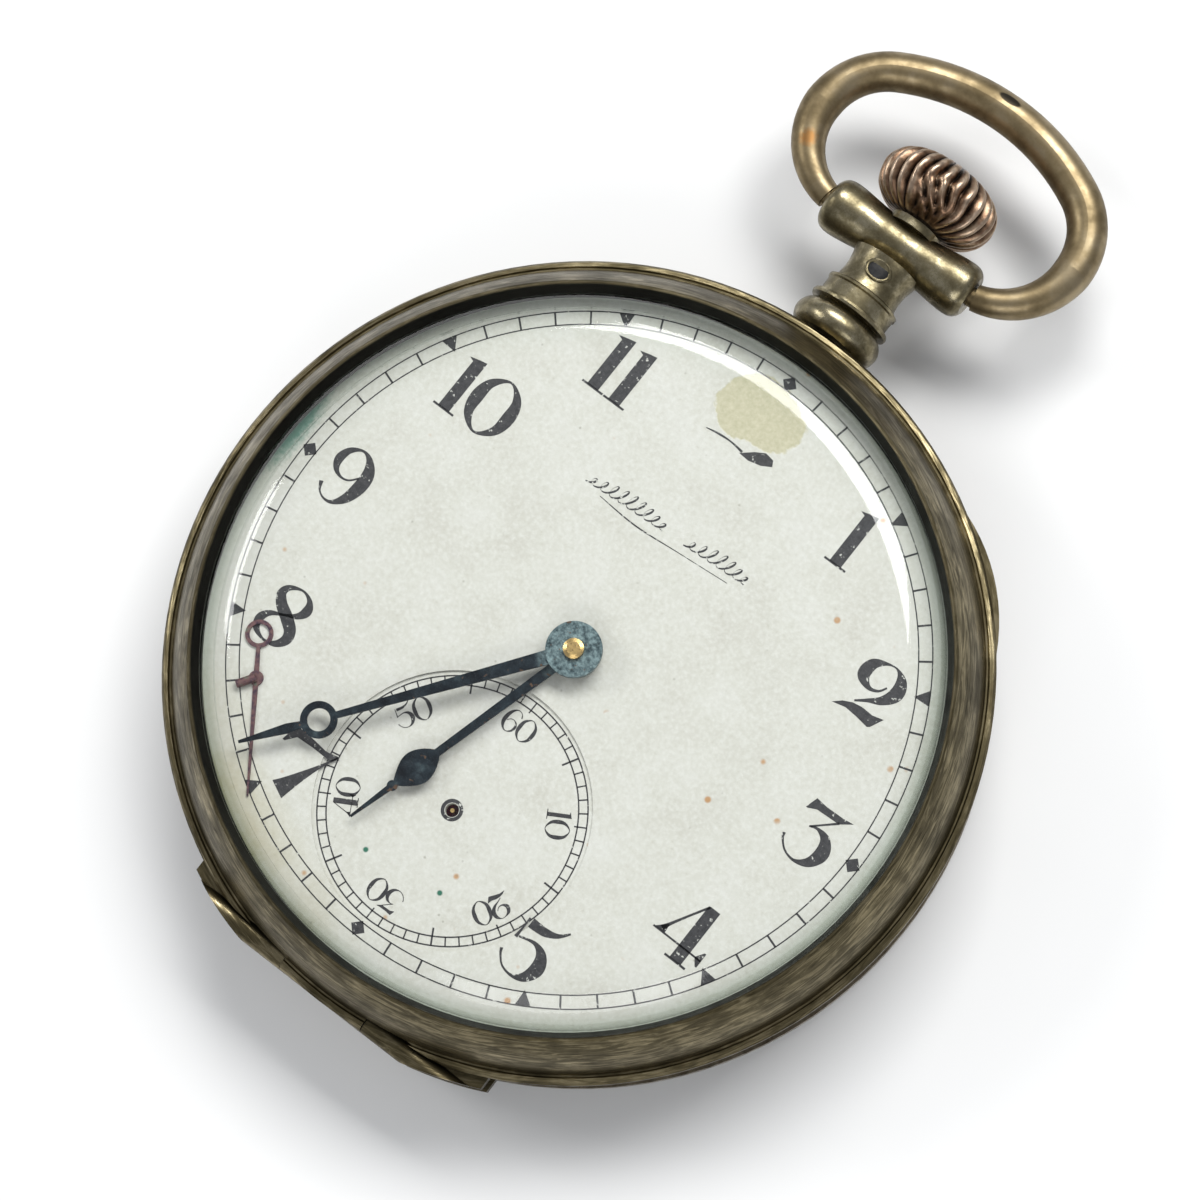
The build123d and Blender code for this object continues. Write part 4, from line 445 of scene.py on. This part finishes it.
def mesh_object(name, points, faces, material, smooth=False):
    mesh = bpy.data.meshes.new(name)
    mesh.from_pydata([[c * MM for c in p] for p in points], [], faces)
    mesh.materials.append(material)
    mesh.polygons.foreach_set("use_smooth", [smooth] * len(mesh.polygons))
    mesh.update()
    made = bpy.data.objects.new(name, mesh)
    bpy.context.scene.collection.objects.link(made)
    return made


class Print:
    """Flat shapes gathered in the dial's own frame and laid on it as one mesh."""

    def __init__(self, top):
        self.top = top + PRINT_LIFT
        self.points = []
        self.faces = []

    def polygon(self, corners):
        start = len(self.points)
        self.points.extend(corners)
        self.faces.append(list(range(start, start + len(corners))))

    def strip(self, left, right, closed=False):
        start = len(self.points)
        count = len(left)
        self.points.extend(left)
        self.points.extend(right)
        for i in range(count if closed else count - 1):
            j = (i + 1) % count
            self.faces.append([start + i, start + j, start + count + j, start + count + i])

    def circle(self, centre, radius, width):
        turns = [2 * pi * i / 180 for i in range(180)]
        inner = radius - width / 2
        outer = radius + width / 2
        self.strip(
            [(centre[0] + inner * sin(t), centre[1] + inner * cos(t)) for t in turns],
            [(centre[0] + outer * sin(t), centre[1] + outer * cos(t)) for t in turns],
            closed=True,
        )

    def dash(self, centre, angle, inner, outer, width):
        self.polygon([clock(angle, r, centre, s * width / 2) for r, s in
                      ((inner, -1), (outer, -1), (outer, 1), (inner, 1))])

    def stroke(self, stops, place, closed=False):
        """A pen stroke through (x, y, width) stops, drawn smoothly; place maps it to the dial."""
        fine = smooth_line(stops, closed)
        left = []
        right = []
        count = len(fine)
        for i, (x, y, w) in enumerate(fine):
            before = fine[(i - 1) % count] if closed or i > 0 else fine[i]
            after = fine[(i + 1) % count] if closed or i < count - 1 else fine[i]
            dx = after[0] - before[0]
            dy = after[1] - before[1]
            size = hypot(dx, dy) or 1
            left.append(place((x - dy / size * w / 2, y + dx / size * w / 2)))
            right.append(place((x + dy / size * w / 2, y - dx / size * w / 2)))
        self.strip(left, right, closed)

    def lay(self, name, material):
        turn = Matrix.Rotation(radians(-DIAL_TURN), 2)
        points = []
        for p in self.points:
            x, y = turn @ Vector(p)
            points.append((x + CENTRE[0], y + CENTRE[1], self.top))
        made = mesh_object(name, points, self.faces, material)
        face_up(made)
        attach(made, "case")
        return made


def face_up(made):
    """Turns every flat face of a mesh to look along +Z."""
    for polygon in made.data.polygons:
        if polygon.normal.z < 0:
            polygon.flip()
    made.data.update()


def clock(angle, distance, centre=(0, 0), aside=0.0):
    """Point at a clock angle from a centre, moved clockwise sideways by 'aside'."""
    a = radians(angle)
    return (centre[0] + distance * sin(a) + aside * cos(a), centre[1] + distance * cos(a) - aside * sin(a))


def smooth_line(stops, closed=False, steps=9):
    """Catmull-Rom line through the stops, widths included."""
    count = len(stops)
    if closed:
        rows = [stops[-1], *stops, stops[0], stops[1]]
    else:
        rows = [stops[0], *stops, stops[-1]]
    fine = []
    for i in range(count if closed else count - 1):
        a, b, c, d = rows[i:i + 4]
        for k in range(steps):
            t = k / steps
            fine.append(tuple(
                0.5 * (2 * q + (r - p) * t + (2 * p - 5 * q + 4 * r - s) * t * t
                       + (3 * q - p - 3 * r + s) * t ** 3)
                for p, q, r, s in zip(a, b, c, d)
            ))
    if not closed:
        fine.append(tuple(stops[-1]))
    return fine


# ---- Figures: pen strokes and straight shapes in a box one unit high ----

THIN = 0.035
FIGURES = {
    "0": [
        ("loop", [(0, 0.985, THIN), (-0.25, 0.8, 0.14), (-0.31, 0.5, 0.215), (-0.25, 0.2, 0.14),
                  (0, 0.015, THIN), (0.25, 0.2, 0.14), (0.31, 0.5, 0.215), (0.25, 0.8, 0.14)]),
    ],
    "1": [
        ("shape", [(-0.105, 0.02), (0.105, 0.02), (0.105, 1.0), (-0.02, 0.975), (-0.19, 0.93),
                   (-0.105, 0.90)]),
        ("shape", [(-0.2, 0), (0.2, 0), (0.2, 0.035), (-0.2, 0.035)]),
    ],
    "2": [
        ("line", [(0.12, 0.66, 0.02), (0.04, 0.54, 0.04), (-0.12, 0.50, 0.08), (-0.29, 0.62, 0.2),
                  (-0.27, 0.83, 0.17), (-0.1, 0.96, 0.05), (0.08, 0.985, THIN), (0.24, 0.86, 0.17),
                  (0.29, 0.66, 0.225), (0.18, 0.46, 0.14), (0.0, 0.33, 0.06), (-0.16, 0.21, 0.03)]),
        ("shape", [(-0.42, -0.01), (-0.2, 0.045), (0.02, 0.03), (0.24, 0.0), (0.28, 0.03),
                   (0.38, 0.24), (0.2, 0.19), (0.0, 0.2), (-0.16, 0.17), (-0.3, 0.1)]),
    ],
    "3": [
        ("shape", [(-0.30, 0.985), (-0.36, 0.78), (-0.33, 0.78), (-0.2, 0.845), (0.2, 0.865),
                   (0.38, 1.0), (0.2, 0.975), (-0.1, 0.965)]),
        ("line", [(0.2, 0.88, 0.04), (0.06, 0.75, 0.03), (-0.12, 0.585, 0.025)]),
        ("line", [(-0.14, 0.575, 0.025), (0.0, 0.615, 0.05), (0.18, 0.55, 0.15), (0.27, 0.35, 0.225),
                  (0.19, 0.13, 0.15), (0.0, 0.02, 0.05), (-0.2, 0.055, 0.03), (-0.34, 0.18, 0.035),
                  (-0.38, 0.27, 0.05)]),
    ],
    "4": [
        ("shape", [(0.03, 0.02), (0.24, 0.02), (0.24, 1.0), (0.06, 1.0), (0.03, 0.96)]),
        ("line", [(0.06, 0.99, 0.04), (-0.1, 0.72, 0.035), (-0.27, 0.42, 0.05), (-0.33, 0.3, 0.1)]),
        ("shape", [(-0.46, 0.24), (0.45, 0.24), (0.45, 0.27), (-0.46, 0.27)]),
        ("shape", [(-0.44, 0.26), (-0.25, 0.26), (-0.27, 0.42)]),
        ("shape", [(0.33, 0.255), (0.42, 0.14), (0.45, 0.14), (0.45, 0.39), (0.42, 0.39)]),
        ("shape", [(-0.06, 0), (0.33, 0), (0.33, 0.035), (-0.06, 0.035)]),
    ],
    "5": [
        ("line", [(0.33, 1.06, 0.02), (0.2, 0.92, 0.07), (0.02, 0.845, 0.13), (-0.14, 0.83, 0.15),
                  (-0.26, 0.83, 0.16)]),
        ("line", [(-0.31, 0.88, 0.035), (-0.31, 0.7, 0.03), (-0.315, 0.52, 0.06)]),
        ("line", [(-0.28, 0.555, 0.03), (-0.02, 0.615, 0.06), (0.17, 0.53, 0.16), (0.25, 0.33, 0.225),
                  (0.17, 0.12, 0.15), (0.0, 0.02, 0.05), (-0.2, 0.05, 0.03), (-0.33, 0.17, 0.035),
                  (-0.38, 0.26, 0.05)]),
    ],
    "7": [
        ("shape", [(-0.42, 0.98), (-0.47, 0.68), (-0.43, 0.68), (-0.3, 0.84), (0.0, 0.86),
                   (0.36, 0.86), (0.44, 1.0), (0.2, 0.94), (-0.1, 0.97)]),
        ("line", [(0.41, 0.97, 0.03), (0.28, 0.72, 0.05), (0.14, 0.42, 0.14), (0.02, 0.15, 0.25),
                  (-0.04, 0.02, 0.32)]),
    ],
    "8": [
        ("loop", [(0.0, 0.985, THIN), (-0.2, 0.9, 0.09), (-0.25, 0.76, 0.15), (-0.14, 0.62, 0.18),
                  (0.06, 0.5, 0.2), (0.23, 0.37, 0.19), (0.27, 0.22, 0.17), (0.17, 0.07, 0.1),
                  (-0.02, 0.015, 0.04), (-0.22, 0.09, 0.1), (-0.28, 0.25, 0.14), (-0.2, 0.4, 0.09),
                  (0.0, 0.51, 0.04), (0.18, 0.62, 0.1), (0.25, 0.77, 0.16), (0.18, 0.92, 0.08)]),
    ],
    "9": [
        ("line", [(0.17, 0.6, 0.02), (0.06, 0.48, 0.03), (-0.08, 0.45, 0.04), (-0.22, 0.52, 0.09),
                  (-0.28, 0.68, 0.145), (-0.22, 0.87, 0.1), (-0.05, 0.985, 0.04), (0.12, 0.93, 0.1),
                  (0.25, 0.74, 0.2), (0.27, 0.5, 0.22), (0.21, 0.24, 0.16), (0.08, 0.06, 0.07),
                  (-0.06, 0.02, 0.035), (-0.2, 0.08, 0.03), (-0.28, 0.22, 0.07)]),
    ],
}


def draw_figure(print_, text, place, height, weight=1.0, spacing=0.73):
    """Writes figures centred on a point; place maps the text's own millimetres to the dial."""
    widths = {"1": 0.42}
    advance = [widths.get(c, spacing) for c in text]
    x = -sum(advance) / 2
    for c, step in zip(text, advance):
        x += step / 2
        glyph = FIGURES["9" if c == "6" else c]
        flip = -1 if c == "6" else 1

        def put(p, x=x, flip=flip):
            return place(((x + flip * p[0]) * height, flip * (p[1] - 0.5) * height))

        for kind, marks in glyph:
            if kind == "shape":
                corners = [((p[0] * (weight if abs(p[0]) < 0.12 else 1)), p[1]) for p in marks]
                print_.polygon([put(p) for p in corners])
            else:
                pen = [(a, b, max(0.03, w * weight)) for a, b, w in marks]
                print_.stroke(pen, put, kind == "loop")
        x += step / 2


def print_main_dial(material, faint):
    """Railway minute track, hour markers and upright figures."""
    black = Print(DIAL_TOP)
    black.circle((0, 0), TRACK_OUT, 0.075)
    black.circle((0, 0), TRACK_IN, 0.075)
    middle = (TRACK_OUT + TRACK_IN) / 2
    for minute in range(60):
        angle = 6 * minute
        if minute % 5:
            black.dash((0, 0), angle, TRACK_IN, TRACK_OUT, 0.12)
        elif minute % 15:
            black.polygon([clock(angle, TRACK_OUT, (0, 0), -0.48), clock(angle, TRACK_OUT, (0, 0), 0.48),
                           clock(angle, TRACK_IN - 0.12)])
        else:
            black.polygon([clock(angle, TRACK_OUT + 0.1), clock(angle, middle, (0, 0), 0.5),
                           clock(angle, TRACK_IN - 0.1), clock(angle, middle, (0, 0), -0.5)])
    for hour in (1, 2, 3, 4, 5, 7, 8, 9):
        cx, cy = clock(30 * hour, NUMERAL_R)
        draw_figure(black, str(hour), lambda p: (p[0] + cx, p[1] + cy), NUMERAL_H)
    for text, (cx, cy) in (("10", (-14.2, 8.72)), ("11", (-8.55, 15.2))):
        draw_figure(black, text, lambda p: (p[0] + cx, p[1] + cy), NUMERAL_H, spacing=0.8)
    # Only a line along the foot of the 12 and the heel of its 2 are left.
    foot = [(-2.35, 15.5, 0.05), (-1.5, 15.65, 0.13), (-0.6, 15.7, 0.1), (0.3, 15.6, 0.16)]
    heel = [(0.2, 15.45), (0.9, 15.4), (1.7, 15.6), (2.3, 15.95), (2.1, 16.3), (1.5, 16.4), (0.9, 16.05)]
    black.stroke(foot, lambda p: p)
    black.polygon(heel)
    black.lay("dial_print", material)
    # Two rows of plain loops over a long stroke, where a signature would be.
    flourish = Print(DIAL_TOP)
    steps = 12
    for start, loops in ((-6.1, 9), (1.0, 7)):
        marks = []
        for i in range(loops * steps + 1):
            t = i / steps
            swing = 2 * pi * t
            tall = 0.35 + 0.55 * sin(pi * t / loops)
            y = tall * (0.5 - 0.5 * cos(swing))
            x = start + 0.62 * t + 0.25 * sin(swing) + 0.4 * y
            marks.append((x, 8.95 + 0.06 * x + y, 0.07 + 0.06 * sin(swing)))
        flourish.stroke(marks, lambda p: p)
    under = [(-4.8, 8.35, 0.04), (-2.0, 8.2, 0.09), (1.0, 8.45, 0.05), (4.5, 8.75, 0.04)]
    flourish.stroke(under, lambda p: p)
    flourish.lay("dial_flourish", faint)


def print_sub_dial(material):
    """Double-ring seconds track with ten-second figures, tops outward."""
    fine = Print(SUNK_TOP)
    fine.circle(SUB_DIAL, SUB_OUT, 0.085)
    fine.circle(SUB_DIAL, SUB_IN, 0.085)
    for second in range(60):
        angle = 6 * second
        long = second % 10 == 5
        short = second % 5 == 0
        past = 0.5 if long else 0.2 if short else 0
        fine.dash(SUB_DIAL, angle, SUB_IN - past, SUB_OUT, 0.11 if long else 0.085)
    for second in range(10, 70, 10):
        angle = 6 * second

        def place(p, angle=angle):
            return clock(angle, SUB_NUMERAL_R + p[1], SUB_DIAL, p[0])

        draw_figure(fine, str(second), place, SUB_NUMERAL_H, weight=0.75, spacing=0.72)
    fine.circle(SUB_DIAL, 0.56, 0.22)
    fine.lay("sub_dial_print", material)


# ---- Modelled details on the pendant ----

# Height along the stem and radius, from the foot of the crown to its top.
CROWN_SIDE = [(34.35, 0.55), (34.36, 1.9), (34.5, 2.5), (34.8, 3.1), (35.2, 3.58), (35.7, 3.88),
              (36.3, 4.03), (36.7, 4.04), (37.2, 3.9), (37.7, 3.56), (38.1, 3.0), (38.35, 2.35),
              (38.5, 1.5), (38.6, 0.7)]
CROWN_RIBS = 26
RIB_DEPTH = 0.6


def smooth_step(low, high, value):
    t = min(1.0, max(0.0, (value - low) / (high - low)))
    return t * t * (3 - 2 * t)


def ribbed_crown(material):
    """Onion crown with a rounded rib between grooves; the ribs are mashed together at one place."""
    rows = smooth_line([(y, r, 0) for y, r in CROWN_SIDE], steps=4)
    around = CROWN_RIBS * 14
    points = []
    heights = []
    for y, radius, _ in rows:
        ribbed = smooth_step(1.6, 2.9, radius)
        for k in range(around):
            turn = 2 * pi * k / around
            # The mashed place lies on top, towards the watch.
            gap = (turn - radians(80) + pi) % (2 * pi) - pi
            near = exp(-(gap / 0.42) ** 2) * smooth_step(37.6, 35.2, y)
            bend = near * (0.20 * sin(1.7 * (y - 34.4)) + 0.05 * sin(7 * turn + 1.5 * y))
            lobe = abs(cos(CROWN_RIBS / 2 * (turn + bend)))
            crossing = abs(cos(CROWN_RIBS / 2 * (turn - 0.35 * near * (y - 35.2))))
            height = (1 - near) * lobe + near * max(0.55 * lobe, 0.8 * crossing)
            heights.append(height ** 0.8 if ribbed else 1.0)
            r = radius - RIB_DEPTH * ribbed * (1 - height ** 0.8) * radius / 4
            points.append((r * cos(turn), y, STEM_Z + r * sin(turn)))
    faces = []
    for i in range(len(rows) - 1):
        for k in range(around):
            j = (k + 1) % around
            faces.append([i * around + k, (i + 1) * around + k, (i + 1) * around + j, i * around + j])
    faces.append([(len(rows) - 1) * around + k for k in range(around)])
    made = mesh_object("ribbed_crown", points, faces, material, True)
    made.data.attributes.new("rib", "FLOAT", "POINT").data.foreach_set("value", heights)
    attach(made, "crown")
    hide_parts("crown")


def cartouche(rim, inside):
    """Small blank oval stamp with a raised rim on the pendant's neck."""
    neck = 2.1
    half_wide = 0.78
    half_tall = 0.60
    points = []
    faces = []
    turns = 40
    ring = 8
    for i in range(turns):
        a = 2 * pi * i / turns
        for k in range(ring):
            b = 2 * pi * k / ring
            grow = 1 + 0.17 * cos(b)
            x = NECK_STAMP[0] + half_wide * grow * cos(a)
            y = NECK_STAMP[1] + half_tall * grow * sin(a)
            points.append((x, y, STEM_Z + (neck ** 2 - x ** 2) ** 0.5 + 0.11 * sin(b)))
            j = (i + 1) % turns
            after = (k + 1) % ring
            faces.append([i * ring + k, j * ring + k, j * ring + after, i * ring + after])
    made = mesh_object("cartouche_rim", points, faces, rim, True)
    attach(made, "case")
    points = []
    faces = []
    rows = 7
    for i in range(rows):
        for k in range(turns):
            a = 2 * pi * k / turns
            x = NECK_STAMP[0] + half_wide * i / (rows - 1) * cos(a)
            y = NECK_STAMP[1] + half_tall * i / (rows - 1) * sin(a)
            points.append((x, y, STEM_Z + (neck ** 2 - x ** 2) ** 0.5 + 0.02))
    for i in range(rows - 1):
        for k in range(turns):
            j = (k + 1) % turns
            faces.append([i * turns + k, (i + 1) * turns + k, (i + 1) * turns + j, i * turns + j])
    made = mesh_object("cartouche_field", points, faces, inside, True)
    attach(made, "case")


# ---- Dress the CAD pieces ----

def dress(material, *names):
    for name in names:
        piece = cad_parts[name]
        piece.data.materials.clear()
        piece.data.materials.append(material)


silver = tarnished("tarnished_silver", (0.026, 0.021, 0.010), (0.090, 0.074, 0.040), (0.28, 0.235, 0.14))
plain_silver = tarnished("cover_silver", (0.06, 0.048, 0.034), (0.20, 0.17, 0.125), (0.42, 0.37, 0.29),
                         ring=False, patch=0.16)
pendant_silver = tarnished("pendant_silver", (0.06, 0.049, 0.027), (0.17, 0.145, 0.085), (0.42, 0.37, 0.25),
                           ring=False, patch=0.4, rough=(0.22, 0.44))
dark_silver = tarnished("dark_silver", (0.012, 0.012, 0.013), (0.03, 0.03, 0.03), (0.07, 0.065, 0.06),
                        ring=False, patch=0.5)
steel = machined("steel", (0.46, 0.46, 0.45))
gilt = machined("gilt", (0.66, 0.46, 0.19))
nickel = machined("nickel", (0.52, 0.50, 0.46), 0.08, (0.2, 0.42), (3, 3, 3), True)
blue_screw = machined("blue_steel", (0.05, 0.08, 0.25), 0.3, (0.12, 0.25))
ruby = jewel("ruby")
hand_steel = blued("blued_steel")
enamel = aged_enamel("enamel")

dress(silver, "case_middle", "bezel")
dress(plain_silver, "back_cover", "cuvette")
dress(pendant_silver, "pendant", "pendant_sleeve")
cartouche(pendant_silver, dark_silver)
dress(worn_wire("bow_brass"), "bow")
crown_copper = old_copper("crown_copper")
dress(crown_copper, "crown")
ribbed_crown(crown_copper)
dress(clear_crystal("crystal_glass"), "crystal")
dress(enamel, "dial")
dress(hand_steel, "minute_hand", "hour_hand")
dress(rusty_needle("rusty_needle"), "seconds_hand")
dress(nickel, "main_plate", "barrel_bridge", "train_bridge", "balance_cock", "pallet_cock")
dress(ruby, "plate_jewels", "bridge_jewels", "balance_cap_jewel")
dress(blue_screw, "bridge_screws", "case_screws", "hairspring")
dress(gilt, "mainspring_barrel", "barrel_cover", "centre_wheel", "third_wheel", "fourth_wheel",
      "balance_wheel", "minute_wheel", "hour_wheel", "cannon_pinion")
dress(steel, "bezel_hinge_pin", "back_hinge_pin", "winding_stem", "dial_screws", "crown_wheel_screw",
      "banking_pins", "click_spring", "hairspring_stud", "setting_spring", "winding_pinion",
      "clutch_wheel", "crown_wheel", "ratchet_wheel", "barrel_arbor", "ratchet_screw", "click",
      "setting_lever", "yoke", "mainspring", "escape_wheel", "pallet_fork", "balance_staff",
      "regulator", "setting_wheel")

print_main_dial(worn_print("dial_ink", 0.62), worn_print("faint_ink", 0.56))
print_sub_dial(worn_print("sub_dial_ink", 0.64))


# ---- Stage, light and camera ----

def pale_floor():
    m = Shade("pale_floor")
    tone = m.noise(m.stretch((1, 1, 1)), 0.02, 4, 0.6)
    m.feed("Base Color", m.ramp(tone, (0.3, (0.70, 0.70, 0.69)), (0.7, (0.74, 0.74, 0.73))))
    m.feed("Roughness", m.ramp(tone, (0.3, 0.8), (0.7, 0.9)))
    half = 1500
    floor = mesh_object("floor", [(-half, -half, 0), (half, -half, 0), (half, half, 0), (-half, half, 0)],
                        [[0, 1, 2, 3]], m.material)


def softbox(name, place, wide, tall, power):
    """A soft lamp aimed at the watch; metres and watts."""
    light = bpy.data.lights.new(name, "AREA")
    light.shape = "RECTANGLE"
    light.size = wide
    light.size_y = tall
    light.energy = power
    lamp = bpy.data.objects.new(name, light)
    bpy.context.scene.collection.objects.link(lamp)
    lamp.location = place
    lamp.rotation_euler = (-Vector(place)).to_track_quat("-Z", "Y").to_euler()


pale_floor()
softbox("key", (-0.05, 0.46, 0.60), 0.62, 0.26, 6.5)
softbox("side", (-0.55, -0.10, 0.42), 0.22, 0.16, 1.2)
softbox("fill", (0.35, -0.55, 0.55), 0.6, 0.4, 2.0)

world = bpy.data.worlds.new("studio")
world.use_nodes = True
world.node_tree.nodes["Background"].inputs["Color"].default_value = (0.9, 0.93, 1.0, 1)
world.node_tree.nodes["Background"].inputs["Strength"].default_value = 0.42
bpy.context.scene.world = world
bpy.context.scene.view_settings.view_transform = "Standard"

camera_data = bpy.data.cameras.new("camera")
camera_data.lens = 105
camera_data.sensor_width = 36
camera_data.clip_start = 0.01
camera = bpy.data.objects.new("camera", camera_data)
bpy.context.scene.collection.objects.link(camera)
view = (Matrix.Rotation(radians(CAMERA_TURN), 4, "Z") @ Matrix.Rotation(radians(CAMERA_TILT), 4, "X")
        @ Matrix.Rotation(radians(CAMERA_ROLL), 4, "Z"))
camera.matrix_world = (Matrix.Translation(Vector(LOOK_AT) * MM) @ view
                       @ Matrix.Translation((0, 0, CAMERA_DISTANCE * MM)))
bpy.context.scene.camera = camera
